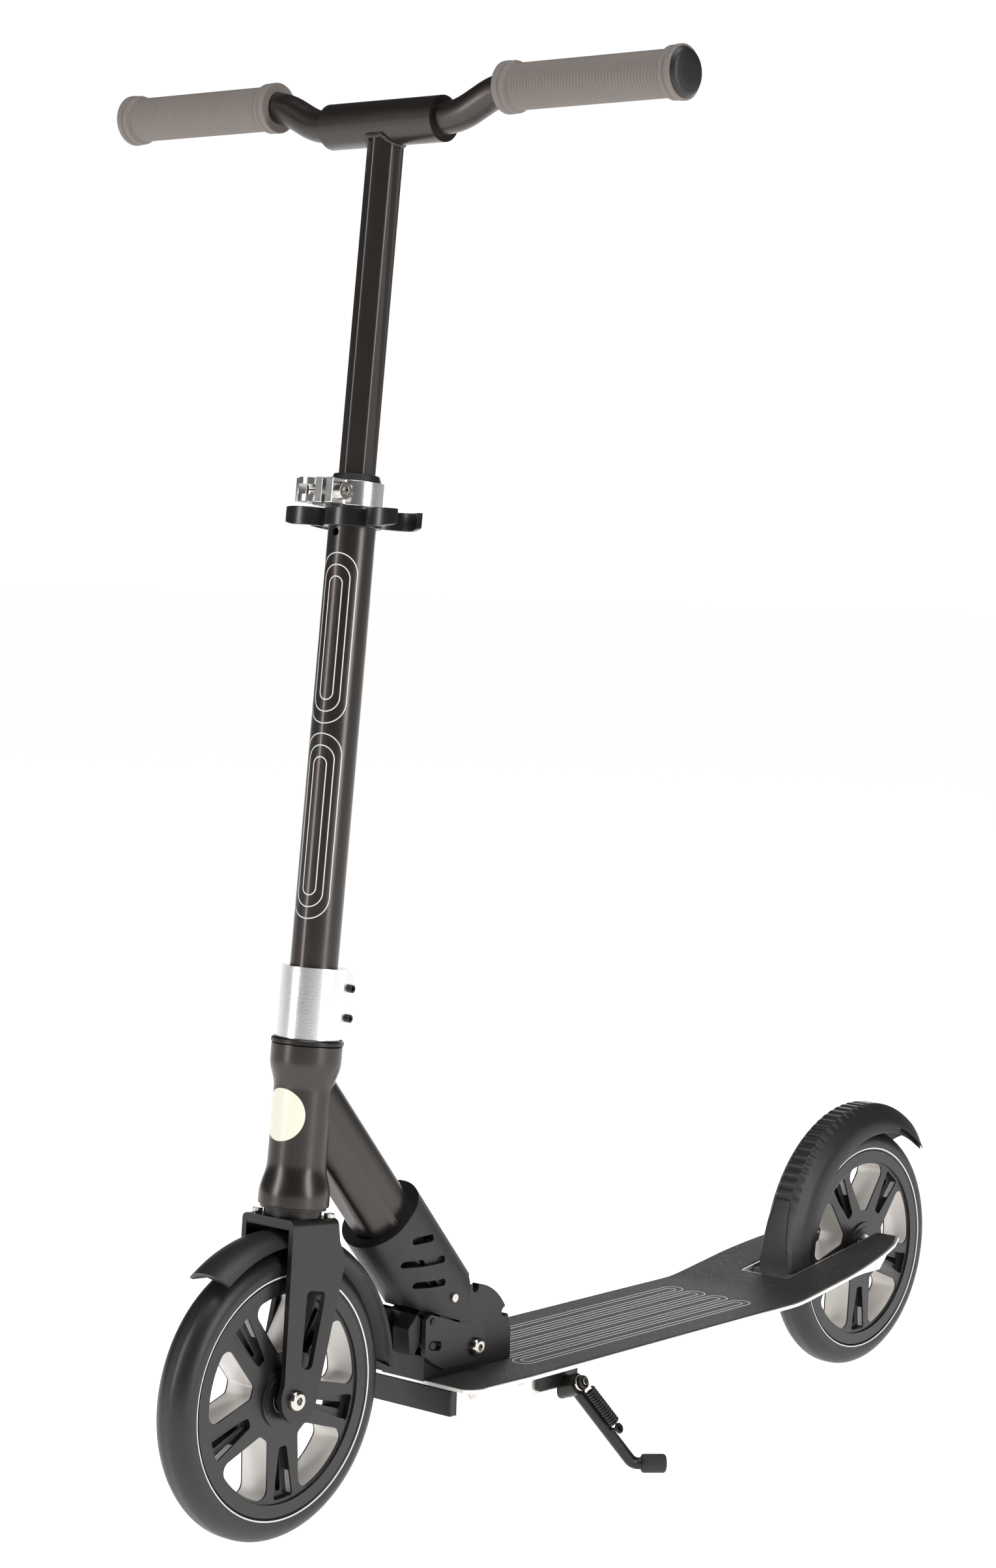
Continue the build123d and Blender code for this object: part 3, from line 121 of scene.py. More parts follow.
world = bpy.data.worlds.new("studio")
bpy.context.scene.world = world
world.use_nodes = True
world.node_tree.nodes["Background"].inputs["Color"].default_value = (1.0, 1.0, 1.0, 1)
# White wall straight behind the scooter and a dim room elsewhere: black tubes keep their dark edges
tree = world.node_tree
towards_wall = tree.nodes.new("ShaderNodeVectorMath")
towards_wall.operation = "DOT_PRODUCT"
tree.links.new(tree.nodes.new("ShaderNodeTexCoord").outputs["Generated"], towards_wall.inputs[0])
towards_wall.inputs[1].default_value = forward.tolist()
wall = tree.nodes.new("ShaderNodeMapRange")
wall.inputs["From Min"].default_value, wall.inputs["From Max"].default_value = 0.90, 0.93
wall.inputs["To Min"].default_value, wall.inputs["To Max"].default_value = 0.05, 1.06
tree.links.new(towards_wall.outputs["Value"], wall.inputs["Value"])
tree.links.new(wall.outputs["Result"], tree.nodes["Background"].inputs["Strength"])
bpy.context.scene.view_settings.view_transform = "Standard"
MIDDLE = (0.0, 0.0, 0.5)
soft_box("box_left", (0.2, 2.6, 1.3), MIDDLE, (0.7, 2.2), 42)
soft_box("box_front", (2.7, -0.9, 1.4), MIDDLE, (0.6, 2.2), 42)
soft_box("box_top", (0.4, 0.5, 3.0), MIDDLE, (1.6, 1.4), 34)
soft_box("box_back", (-2.4, -1.2, 1.5), MIDDLE, (1.0, 2.0), 14)

# %% [markdown]
# ## Surfaces from arrays
# A surface is a grid of points: rows one way, columns the other. The helpers below turn such a grid
# into a mesh, close its seams and poles, and let the piece ride on a body of the frame.

# %% Mesh helpers
MM = 0.001


def grid_faces(rows, columns, wrap_rows, wrap_columns):
    """Quads of a grid counted row by row; a wrapped direction is joined end to start."""
    i = np.arange(rows if wrap_rows else rows - 1)[:, None]
    j = np.arange(columns if wrap_columns else columns - 1)[None, :]
    i_next, j_next = (i + 1) % rows, (j + 1) % columns
    quads = [i * columns + j, i * columns + j_next, i_next * columns + j_next, i_next * columns + j]
    return np.stack(np.broadcast_arrays(*quads), axis=-1).reshape(-1, 4)


def close_up(mesh, crease):
    """Merges doubled points, points the faces outwards, and shades smooth except across sharp edges."""
    work = bmesh.new()
    work.from_mesh(mesh)
    bmesh.ops.remove_doubles(work, verts=work.verts, dist=2e-7)
    bmesh.ops.dissolve_degenerate(work, edges=work.edges, dist=1e-8)
    bmesh.ops.recalc_face_normals(work, faces=work.faces)
    work.to_mesh(mesh)
    work.free()
    mesh.shade_smooth()
    mesh.set_sharp_from_angle(angle=radians(crease))


def add_piece(name, mesh, material, body, replaced=()):
    """Puts a finished mesh in the scene, on its body and the nodes it stands for."""
    mesh.materials.clear()
    mesh.materials.append(material)
    piece = bpy.data.objects.new(name, mesh)
    bpy.context.collection.objects.link(piece)
    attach(piece, body)
    if replaced:
        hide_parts(*replaced)
    return piece


def surface(name, grids, material, body, replaced=(), wrap=(False, True), crease=35):
    """One piece from one or more grids of points (rows, columns, 3) in millimetres."""
    points, faces, count = [], [], 0
    for grid in grids:
        rows, columns = grid.shape[:2]
        points.append(grid.reshape(-1, 3))
        faces.append(grid_faces(rows, columns, *wrap) + count)
        count += rows * columns
    mesh = bpy.data.meshes.new(name)
    mesh.from_pydata((np.vstack(points) * MM).tolist(), [], np.vstack(faces).tolist())
    close_up(mesh, crease)
    print(name, len(mesh.polygons), "faces")
    return add_piece(name, mesh, material, body, replaced)


def axes(origin, x_dir, z_dir):
    """A local frame: origin and three directions, as rows."""
    x_dir, z_dir = np.array(x_dir, float), np.array(z_dir, float)
    return np.array(origin, float), np.array([x_dir, np.cross(z_dir, x_dir), z_dir])


def placed(points, local):
    """Moves points from a local frame into the scooter's frame: origin plus each coordinate along its direction."""
    origin, directions = local
    return points @ directions + origin


def turned(profile, segments=96):
    """Carries a profile of (radius, height) once round the local Z: (r cos a, r sin a, h)."""
    radius, height = np.array(profile, float).T
    angle = np.linspace(0, 2 * pi, segments, endpoint=False)
    ring = np.stack([np.cos(angle), np.sin(angle)], axis=-1)
    return np.concatenate([radius[:, None, None] * ring[None], np.broadcast_to(
        height[:, None, None], (len(radius), segments, 1))], axis=-1)


def rounded(corners, radius, closed=False, steps=5):
    """A polyline whose corners are blended: (1-s)^2 a + 2 s (1-s) corner + s^2 b, with a and b a radius away."""
    corner = np.array(corners, float)
    middle = corner if closed else corner[1:-1]
    before = np.roll(corner, 1, axis=0) if closed else corner[:-2]
    after = np.roll(corner, -1, axis=0) if closed else corner[2:]
    back, ahead = before - middle, after - middle
    back_length = np.linalg.norm(back, axis=1, keepdims=True)
    ahead_length = np.linalg.norm(ahead, axis=1, keepdims=True)
    reach = np.minimum(np.broadcast_to(np.array(radius, float).reshape(-1, 1), back_length.shape),
                       0.49 * np.minimum(back_length, ahead_length))
    start = middle + back / back_length * reach
    end = middle + ahead / ahead_length * reach
    s = np.linspace(0, 1, steps)[None, :, None]
    blend = (1 - s) ** 2 * start[:, None] + 2 * s * (1 - s) * middle[:, None] + s ** 2 * end[:, None]
    blend = blend.reshape(-1, corner.shape[1])
    return blend if closed else np.vstack([corner[:1], blend, corner[-1:]])


def swept(path, section, normal, closed_ends=True):
    """Carries a closed section along a flat path: one coordinate runs along the path's normal, the other across."""
    path, normal = np.array(path, float), np.array(normal, float)
    along = np.gradient(path, axis=0)
    along /= np.linalg.norm(along, axis=1, keepdims=True)
    across = np.cross(normal, along)
    section = np.array(section, float)
    grid = path[:, None] + section[None, :, :1] * normal + section[None, :, 1:] * across[:, None]
    if closed_ends:
        shape = (1, len(section), 3)
        grid = np.concatenate([np.broadcast_to(path[0], shape), grid, np.broadcast_to(path[-1], shape)])
    return grid


def circle(radius, count=24):
    """Points of a round section."""
    angle = np.linspace(0, 2 * pi, count, endpoint=False)
    return radius * np.stack([np.cos(angle), np.sin(angle)], axis=-1)


RAKE = radians(5.16)
STEER = axes((356.8, 0, 0), (cos(RAKE), 0, sin(RAKE)), (-sin(RAKE), 0, cos(RAKE)))
WHEEL_R, AXLE_X = 100.0, 355.0
WHEELS = {place: axes((x, 0, WHEEL_R), (1, 0, 0), (0, 1, 0)) for place,
          x in (("front", AXLE_X), ("rear", -AXLE_X))}

# %% [markdown]
# ## Effects shared by the finishes
# A node group is an effect that is built once and used in many materials. *Mottle* makes a colour and
# a roughness drift softly, as on any real coating. *Grain* is a fine height for a bump, from the orange
# peel of a powder coat to the bite of grip tape. *Ring line* is a printed circle round a wheel.

# %% Node groups
def new_group(name, inputs, outputs):
    """Empty shader group with named sockets: each is (name, socket type, default)."""
    group = bpy.data.node_groups.new(name, "ShaderNodeTree")
    for label, kind, default in inputs:
        socket = group.interface.new_socket(label, in_out="INPUT", socket_type=kind)
        socket.default_value = default
    for label, kind in outputs:
        group.interface.new_socket(label, in_out="OUTPUT", socket_type=kind)
    return group, group.nodes.new("NodeGroupInput"), group.nodes.new("NodeGroupOutput")


def math_node(tree, operation, first, second=None, clamp=False):
    """Math node whose inputs are sockets or numbers; returns its output socket."""
    node = tree.nodes.new("ShaderNodeMath")
    node.operation = operation
    node.use_clamp = clamp
    for socket, value in zip(node.inputs, (first, second)):
        if isinstance(value, (int, float)):
            socket.default_value = value
        elif value is not None:
            tree.links.new(value, socket)
    return node.outputs[0]


def noise_node(tree, scale, detail=4.0, stretch=None):
    """Noise on Object coordinates, stretched along an axis where wanted; returns its value socket."""
    place = tree.nodes.new("ShaderNodeTexCoord").outputs["Object"]
    if stretch:
        mapping = tree.nodes.new("ShaderNodeMapping")
        mapping.inputs["Scale"].default_value = stretch
        tree.links.new(place, mapping.inputs["Vector"])
        place = mapping.outputs["Vector"]
    noise = tree.nodes.new("ShaderNodeTexNoise")
    noise.inputs["Detail"].default_value = detail
    tree.links.new(place, noise.inputs["Vector"])
    if isinstance(scale, (int, float)):
        noise.inputs["Scale"].default_value = scale
    else:
        tree.links.new(scale, noise.inputs["Scale"])
    return noise.outputs["Fac"]


FLOAT, COLOUR = "NodeSocketFloat", "NodeSocketColor"
mottle, m_in, m_out = new_group(
    "mottle", [("Colour", COLOUR, (0.5, 0.5, 0.5, 1)), ("Scale", FLOAT, 12.0), ("Change", FLOAT, 0.15),
               ("Roughness", FLOAT, 0.4), ("Roughness change", FLOAT, 0.1)],
                                [("Colour", COLOUR), ("Roughness", FLOAT)])
broad = math_node(mottle, "SUBTRACT", noise_node(mottle, m_in.outputs["Scale"]), 0.5)
fine_scale = math_node(mottle, "MULTIPLY", m_in.outputs["Scale"], 7.0)
fine = math_node(mottle, "SUBTRACT", noise_node(mottle, fine_scale, 5.0), 0.5)
both = math_node(mottle, "ADD", broad, math_node(mottle, "MULTIPLY", fine, 0.5))
gain = math_node(mottle, "ADD", math_node(mottle, "MULTIPLY", both, m_in.outputs["Change"]), 1.0)
tint = mottle.nodes.new("ShaderNodeVectorMath")
tint.operation = "SCALE"
mottle.links.new(m_in.outputs["Colour"], tint.inputs[0])
mottle.links.new(gain, tint.inputs["Scale"])
mottle.links.new(tint.outputs[0], m_out.inputs["Colour"])
mottle.links.new(math_node(mottle, "ADD", math_node(mottle, "MULTIPLY", both, m_in.outputs["Roughness change"]),
                           m_in.outputs["Roughness"], clamp=True), m_out.inputs["Roughness"])

grain, g_in, g_out = new_group("grain", [("Scale", FLOAT, 900.0), ("Coarse share", FLOAT, 0.2)],
                               [("Height", FLOAT)])
small = noise_node(grain, g_in.outputs["Scale"], 2.0)
coarse = noise_node(grain, math_node(grain, "MULTIPLY", g_in.outputs["Scale"], 0.12), 2.0)
grain.links.new(math_node(grain, "ADD", small, math_node(grain, "MULTIPLY", coarse, g_in.outputs["Coarse share"])),
                g_out.inputs["Height"])

ring_line, r_in, r_out = new_group(
    "ring_line", [("Centre X", FLOAT, AXLE_X * MM), ("Radius", FLOAT, 0.084), ("Half width", FLOAT, 0.0005)],
    [("Mask", FLOAT)])
split = ring_line.nodes.new("ShaderNodeSeparateXYZ")
ring_line.links.new(ring_line.nodes.new("ShaderNodeTexCoord").outputs["Object"], split.inputs[0])
from_x = math_node(ring_line, "SUBTRACT", split.outputs["X"], r_in.outputs["Centre X"])
from_z = math_node(ring_line, "SUBTRACT", split.outputs["Z"], WHEEL_R * MM)
distance = math_node(ring_line, "SQRT",
                     math_node(ring_line, "ADD", math_node(ring_line, "MULTIPLY", from_x, from_x),
                                                  math_node(ring_line, "MULTIPLY", from_z, from_z)))
off_line = math_node(ring_line, "ABSOLUTE", math_node(ring_line, "SUBTRACT", distance, r_in.outputs["Radius"]))
ring_line.links.new(math_node(ring_line, "LESS_THAN", off_line, r_in.outputs["Half width"]), r_out.inputs["Mask"])

# %% [markdown]
# ## The finishes
# Each finish is a Principled shader fed by the shared effects. The brown-black of the tubes is a
# metallic satin coat; the mouldings are a duller black; the collar, the clamp and the deck's edges are
# bare aluminium with fine turning or drawing marks.

# %% Finish helper
def group_node(tree, group, **values):
    """Places a group and sets its inputs by name, with underscores for spaces."""
    node = tree.nodes.new("ShaderNodeGroup")
    node.node_tree = group
    for label, value in values.items():
        node.inputs[label.replace("_", " ")].default_value = value
    return node


def finish(name, colour, rough, metal=0.0, coat=0.0, mottling=0.15, drift=0.1, scale=14.0,
           grain_scale=1500.0, grain_depth=0.00002, coarse=0.2, stretch=None, stretch_depth=0.0):
    """A finish: mottled colour and roughness, a fine grain, and, for drawn metal, streaks along one axis."""
    made = bpy.data.materials.new(name)
    made.use_nodes = True
    tree = made.node_tree
    shader = tree.nodes["Principled BSDF"]
    spread = group_node(tree, mottle, Colour=(*colour, 1), Scale=scale, Change=mottling, Roughness=rough,
                        Roughness_change=drift)
    tree.links.new(spread.outputs["Colour"], shader.inputs["Base Color"])
    tree.links.new(spread.outputs["Roughness"], shader.inputs["Roughness"])
    shader.inputs["Metallic"].default_value = metal
    shader.inputs["Coat Weight"].default_value = coat
    shader.inputs["Coat Roughness"].default_value = 0.2
    height = group_node(tree, grain, Scale=grain_scale, Coarse_share=coarse).outputs["Height"]
    if stretch:
        streaks = noise_node(tree, 900.0, 3.0, stretch)
        height = math_node(tree, "ADD", height, math_node(tree, "MULTIPLY", streaks, stretch_depth))
    bump = tree.nodes.new("ShaderNodeBump")
    bump.inputs["Distance"].default_value = grain_depth
    tree.links.new(height, bump.inputs["Height"])
    tree.links.new(bump.outputs["Normal"], shader.inputs["Normal"])
    return made


def overlay(material, mask, colour, rough):
    """Lays a second colour and roughness over a finish where a mask is 1."""
    tree = material.node_tree
    shader = tree.nodes["Principled BSDF"]
    for label, value, kind in (("Base Color", (*colour, 1), "RGBA"), ("Roughness", rough, "FLOAT")):
        under = shader.inputs[label].links[0].from_socket
        mix = tree.nodes.new("ShaderNodeMix")
        mix.data_type = kind
        first, second = (mix.inputs[6], mix.inputs[7]) if kind == "RGBA" else (mix.inputs[2], mix.inputs[3])
        tree.links.new(mask, mix.inputs[0])
        tree.links.new(under, first)
        second.default_value = value
        tree.links.new(mix.outputs[2] if kind == "RGBA" else mix.outputs[0], shader.inputs[label])


# %% Finishes
tube_black = finish("tube_black", (0.058, 0.050, 0.046), 0.30, metal=0.85, coat=0.1, mottling=0.12)
frame_black = finish("frame_black", (0.022, 0.020, 0.0195), 0.34, metal=0.35, grain_scale=1800,
                     grain_depth=0.00003)
plastic_black = finish("plastic_black", (0.0085, 0.008, 0.0078), 0.46, grain_scale=1300, grain_depth=0.00005,
                       coarse=0.5)
fender_black = finish("fender_black", (0.017, 0.0148, 0.0142), 0.46, grain_scale=1500, grain_depth=0.00006,
                      coarse=0.4)
gloss_black = finish("gloss_black", (0.007, 0.0068, 0.0066), 0.30, coat=0.15, grain_depth=0.00002)
silver = finish("silver", (0.80, 0.80, 0.79), 0.24, metal=1.0, mottling=0.06, drift=0.12, stretch=(0.04, 1, 1),
                stretch_depth=0.6, grain_depth=0.00003)
edge_silver = finish("edge_silver", (0.84, 0.82, 0.79), 0.34, metal=0.85, mottling=0.06, drift=0.12,
                     stretch=(0.03, 1, 1), stretch_depth=0.8, grain_depth=0.00003)
steel = finish("steel", (0.55, 0.52, 0.48), 0.16, metal=1.0, mottling=0.1)
dark_steel = finish("dark_steel", (0.03, 0.028, 0.026), 0.34, metal=0.7, mottling=0.2)
grip_rubber = finish("grip_rubber", (0.155, 0.135, 0.122), 0.62, grain_scale=1200, grain_depth=0.00008, coarse=0.6)
foot_rubber = finish("foot_rubber", (0.012, 0.012, 0.012), 0.6, grain_scale=1000, grain_depth=0.00008)
pad_rubber = finish("pad_rubber", (0.05, 0.042, 0.036), 0.7, grain_scale=900, grain_depth=0.0001)
tape = finish("tape", (0.030, 0.027, 0.026), 0.62, mottling=0.35, scale=60, grain_scale=1100,
              grain_depth=0.00045, coarse=0.9)
# Specks of grit on the tape: the lower roughness is the grains' own, and the lighter colour is a painted glint that
# stands in for light caught by the grains.
grit_with_painted_glint = math_node(tape.node_tree, "GREATER_THAN", noise_node(tape.node_tree, 620.0, 1.0), 0.72)
overlay(tape, grit_with_painted_glint, (0.20, 0.19, 0.18), 0.4)
print_grey = finish("print_grey", (0.62, 0.61, 0.58), 0.5, mottling=0.15)
badge_cream = finish("badge_cream", (0.74, 0.72, 0.60), 0.35, coat=0.3, mottling=0.05)

WINDOWS, WINDOW_START = 5, {"front": 16.0, "rear": 20.0}
tyre_finish, rim_finish = {}, {}
for place, x in (("front", AXLE_X), ("rear", -AXLE_X)):
    made = finish(place + "_tyre_black", (0.0095, 0.0088, 0.0086), 0.42, drift=0.14, grain_scale=900,
                  grain_depth=0.00006, coarse=0.5)
    line = group_node(made.node_tree, ring_line, Centre_X=x * MM)
    overlay(made, line.outputs["Mask"], (0.72, 0.72, 0.71), 0.5)
    tyre_finish[place] = made
    made = finish(place + "_rim_two_tone", (0.012, 0.0112, 0.011), 0.34, metal=0.2, coat=0.15)
    tree = made.node_tree
    parts = tree.nodes.new("ShaderNodeSeparateXYZ")
    tree.links.new(tree.nodes.new("ShaderNodeTexCoord").outputs["Object"], parts.inputs[0])
    inside_face = math_node(tree, "LESS_THAN", math_node(tree, "ABSOLUTE", parts.outputs["Y"]), 0.0112)
    beyond_hub = group_node(tree, ring_line, Centre_X=x * MM, Radius=0.051, Half_width=0.0216).outputs["Mask"]
    # turn, counted in windows: whole numbers at the middle of a window, halves at the middle of a spoke
    turn = math_node(tree, "ARCTAN2", math_node(tree, "SUBTRACT", parts.outputs["Z"], WHEEL_R * MM),
                     math_node(tree, "SUBTRACT", parts.outputs["X"], x * MM))
    share = math_node(tree, "SUBTRACT", math_node(tree, "MULTIPLY", turn, WINDOWS / (2 * pi)),
                      WINDOW_START[place] * WINDOWS / 360)
    to_window = math_node(tree, "PINGPONG", share, 0.5)
    in_window = math_node(tree, "LESS_THAN", to_window, 0.40)
    light = math_node(tree, "MULTIPLY", math_node(tree, "MULTIPLY", inside_face, beyond_hub), in_window)
    overlay(made, light, (0.66, 0.63, 0.60), 0.42)
    rim_finish[place] = made

# %% [markdown]
# ## Machined and moulded pieces
# The CAD solids have razor edges, and a razor edge catches no light. A copy of each is merged into
# clean faces and given a narrow bevel, so that every edge draws a thin highlight. The copy stands for
# the node, which stays behind for collisions.

# %% Softened copies
def softened(node, width, material, crease=30):
    """Copy of a CAD node with merged faces and edges rounded by width millimetres."""
    mesh = frame["nodes"][node].data.copy()
    mesh.name = node + "_look"
    work = bmesh.new()
    work.from_mesh(mesh)
    bmesh.ops.remove_doubles(work, verts=work.verts, dist=1e-6)
    bmesh.ops.dissolve_limit(work, angle_limit=radians(0.6), verts=work.verts, edges=work.edges)
    work.to_mesh(mesh)
    work.free()
    mesh.shade_smooth()
    mesh.set_sharp_from_angle(angle=radians(crease))
    piece = add_piece(node + "_look", mesh, material, BODY_OF[node], [node])
    if width:
        bevel = piece.modifiers.new("edges", "BEVEL")
        bevel.width = width * MM
        bevel.segments = 2
        bevel.limit_method = "ANGLE"
        bevel.angle_limit = radians(crease)
        bevel.harden_normals = True
    return piece


LOOKS = {
    tube_black: (("lower_post", 0.3), ("upper_post", 0.35), ("head_tube", 0.6), ("down_tube", 0.2)),
    frame_black: (("fork", 0.7), ("folding_bracket", 0.5), ("yoke_cheeks", 0.5)),
    plastic_black: (("neck_cover_left", 0.5), ("neck_cover_right", 0.5), ("release_lever", 0.7),
                    ("post_insert", 0.5), ("deck_front_cap", 0.3), ("bar_button_left", 0.4),
                    ("bar_button_right", 0.4)),
    gloss_black: (("grip_rest_clip", 0.8),),
    silver: (("stem_collar", 0.5), ("clamp_ring", 0.4), ("clamp_lever", 0.6)),
    edge_silver: (("deck", 0.5), ("dropout_plates", 0.5)),
    steel: (("deck_side_screws", 0.2), ("fold_pivot_bolt", 0.3), ("fold_pivot_nut", 0.4),
            ("front_axle_bolt", 0.3), ("front_axle_nut", 0.4), ("crown_screws", 0.5),
            ("clamp_bolt", 0.3), ("neck_cover_screws", 0.3), ("front_wheel_bearings", 0.2),
            ("rear_wheel_bearings", 0.2), ("kickstand_pivot_bolt", 0.4)),
    dark_steel: (("rear_axle_bolt", 0.3), ("rear_axle_nut", 0.4), ("lock_pin", 0.4), ("lever_pivot_pin", 0.3),
                 ("collar_bolts", 0.2), ("headset_cups", 0.3), ("headset_bearings", 0.2), ("headset_nut", 0.3),
                 ("front_axle_spacers", 0.2), ("rear_axle_spacers", 0.2), ("fender_hinge_pin", 0.3),
                 ("kickstand_bracket", 0.5), ("kickstand_leg", 0.3)),
    foot_rubber: (("kickstand_foot", 0.3),),
    pad_rubber: (("brake_pad", 0.8),),
    tape: (("grip_tape", 0.15),),
    rim_finish["front"]: (("front_rim", 1.0),),
    rim_finish["rear"]: (("rear_rim", 1.0),)}
for material, rows in LOOKS.items():
    for node, width in rows:
        softened(node, width, material)

# %% [markdown]
# ## Wheels
# A cast polyurethane tyre has a flat tread that rounds into bulging sides. Its section is carried once
# round the axle. A fine moulded step near the rim keeps the light from sliding off the side in one piece.

# %% Tyres
TYRE_EDGE = [(82, 14.4), (86.5, 15.0), (90.5, 14.9), (94.6, 12.9), (97.6, 9.6), (99.4, 6.0), (100, 3.6)]
tyre_half = np.array([(82.0, 0.0), *TYRE_EDGE])
tyre_section = np.vstack([tyre_half, (tyre_half * (1, -1))[:0:-1]])
for place in ("front", "rear"):
    section = rounded(tyre_section, 2.2, closed=True, steps=6)
    ring = placed(turned(section, 180), WHEELS[place])
    surface(place + "_tyre_look", [ring], tyre_finish[place], place + "_wheel",
            [place + "_tyre"], wrap=(True, True), crease=50)

# %% [markdown]
# ## Grips and bar ends
# The rubber grip is a sleeve of fine rings between two flanges. The rings are real ridges: the radius is
# a base value plus a cosine of the distance along the bar. A domed plug closes each end.

# %% Grips
BAR_T, RIDGE = 987.0, 2.6


def grip_profile():
    """(radius, distance): flanges at both ends, ridges of one pitch between them."""
    along = np.arange(115.5, 238.5, RIDGE / 8)
    ridged = np.stack([15.1 + 0.42 * np.abs(np.cos(pi * (along - 115.5) / RIDGE)) ** 0.6, along], axis=-1)
    inner = rounded([(11, 104), (15.6, 104), (17.6, 104), (17.6, 108.4), (16.4, 109.4), (17.4, 110.6),
                     (17.4, 113), (15.2, 115.2)], 0.8)
    outer = rounded([(15.2, 238.8), (17.5, 241), (17.5, 244), (16.4, 245.2), (17.9, 246.2), (17.9, 250),
                     (11, 250)], 0.8)
    return np.vstack([inner, ridged, outer])


for side, place in ((1, "left"), (-1, "right")):
    bar = axes(placed(np.array([0, 0, BAR_T]), STEER), STEER[1][0], (0, side, 0))
    surface(f"grip_{place}_look", [placed(turned(grip_profile(), 72), bar)], grip_rubber, "handlebar",
            [f"grip_{place}"], wrap=(True, True), crease=60)

plug_profile = rounded([(0, 254.4), (8, 254.3), (14.2, 253.4), (16.4, 250.6), (16.4, 250.0), (0, 250.0)], 1.6)
ends = [axes(placed(np.array([0, 0, BAR_T]), STEER), STEER[1][0], (0, side, 0)) for side in (1, -1)]
surface("grip_end_plugs_look", [placed(turned(plug_profile, 64), end) for end in ends], plastic_black,
        "handlebar", ["grip_end_plugs"])

# %% [markdown]
# ## Handlebar tubes
# Each bar is a round tube that leaves the sleeve level, rises through two gentle bends, and runs level
# under its grip. Its path is a polyline with blended corners, in the upright plane of the bars.

# %% Bars
for side, place in ((1, "left"), (-1, "right")):
    corners = np.array([(0, 6, 970), (0, 63.5, 970), (0, 98, 987), (0, 249, 987)], float) * (1, side, 1)
    path = placed(rounded(corners, 13.0, steps=14), STEER)
    outer = swept(path, circle(11.0, 48), STEER[1][0])
    surface(f"handlebar_{place}_look", [outer], tube_black, "handlebar", [f"handlebar_{place}"],
            crease=50)

# %% [markdown]
# ## Fenders
# The front fender is a thin arched shell. The rear one is thicker, flat on top with turned-down sides,
# and its front half carries short cross ribs for the shoe. Both are a section carried round the axle,
# with the section's height changing along the way.

# %% Front fender
def around_wheel(place, section, angles, lift=None):
    """Carries a (side, radius) section round a wheel's axle: x and z from the radius and angle, y from the side."""
    angle = np.radians(angles)[:, None]
    side, radius = np.array(section, float).T
    radius = np.broadcast_to(radius, (len(angles), len(radius)))
    if lift is not None:
        radius = radius + lift
    origin = WHEELS[place][0]
    return np.stack([origin[0] + radius * np.cos(angle), np.broadcast_to(side, radius.shape),
                     origin[2] + radius * np.sin(angle)], axis=-1)


def end_caps(grid):
    """Closes both ends of a swept grid by shrinking its first and last section to their middles."""
    first, last = grid[:1], grid[-1:]
    return np.concatenate([np.broadcast_to(first.mean(axis=1, keepdims=True), first.shape), grid,
                           np.broadcast_to(last.mean(axis=1, keepdims=True), last.shape)])


side = np.linspace(-1, 1, 25)
over = np.stack([19.0 * side, 113.0 - 7.5 * np.abs(side) ** 2.4], axis=-1)
under = np.stack([16.9 * side[::-1], 110.6 - 6.4 * np.abs(side[::-1]) ** 2.4], axis=-1)
angles = np.linspace(55, 178, 90)
surface("front_fender_look", [end_caps(around_wheel("front", np.vstack([over, under]), angles))],
        fender_black, "steering", ["front_fender"], crease=50)

# %% Rear fender
FENDER_FROM, FENDER_TO, FENDER_R = -6.0, 136.0, 119.0
RIB_FROM, RIB_TO, RIBS = 24.0, 92.0, 16
fender_middle = np.array([-361.0, 102.0])           # x and z of the arc's own centre
skirt_middle, SKIRT_R = np.array([-368.8, 93.3]), 102.8
angles = np.linspace(FENDER_FROM, FENDER_TO, 470)
ray = np.stack([np.cos(np.radians(angles)), np.sin(np.radians(angles))], axis=-1)

# where each ray leaves the circle that trims the skirts: t = d.m + sqrt((d.m)^2 - m.m + R^2)
reach = ray @ (skirt_middle - fender_middle)
skirt = reach + np.sqrt(reach ** 2 - ((skirt_middle - fender_middle) ** 2).sum() + SKIRT_R ** 2)
tip = np.clip((angles - 127) / (FENDER_TO - 127), 0, 1)
tip_drop = 5.0 * (1 - np.sqrt(1 - (0.98 * tip) ** 2))
skirt = skirt + 2.4 * (1 - np.sqrt(1 - (0.98 * tip) ** 2))

foot = np.clip((20 - angles) / 24, 0, 1)             # the smooth foot below the ribs widens downwards
ridge = 7.6 + 6.4 * foot ** 0.8
rows = []
for half, low, drop in zip(ridge, skirt, tip_drop):
    top = FENDER_R - drop
    shoulder = half + 0.42 * (19.0 - half)
    outline = np.array([(half, top), (shoulder, top - 4.6 + 1.2 * (half > 12)), (19.0, 105.0), (20.0, 97.0),
                        (20.0, low),
                        (17.4, low), (17.4, 97.0), (16.4, 104.0), (13.0, 110.6), (6.6, 115.5)])
    outline[:, 1] = np.maximum(outline[:, 1], low + np.array([0, 0, 0, 0, 0, 0, 0.01, 0.02, 0.03, 0.04]))
    outline[:, 1] = np.minimum(outline[:, 1], top - np.array([0, 0.3, 1.0, 1.2, 0, 0, 0, 0, 0, 0]))
    mirrored = outline[::-1] * (-1, 1)
    rows.append(rounded(np.vstack([outline, mirrored]),
                        [1.6, 4.5, 7, 4, 1.2, 1.2, 4, 4, 4, 2.5, 2.5, 4, 4, 4, 1.2, 1.2, 4, 7, 4.5, 1.6],
                        closed=True, steps=6))
shell = np.stack(rows)
ribbed = np.clip(np.minimum(angles - RIB_FROM, RIB_TO - angles) / 1.5, 0, 1)
wave = np.clip(np.cos(2 * pi * (angles - RIB_FROM) * RIBS / (RIB_TO - RIB_FROM)) * 2.2, -1, 1)
on_ridge = np.clip((shell[:, :, 1] - (FENDER_R - 4.6)) / 3.0, 0, 1)
radius = shell[:, :, 1] + (ribbed * (0.55 * wave - 0.55))[:, None] * on_ridge
fender = np.stack([fender_middle[0] + radius * ray[:, :1], shell[:, :, 0],
                   fender_middle[1] + radius * ray[:, 1:]], axis=-1)
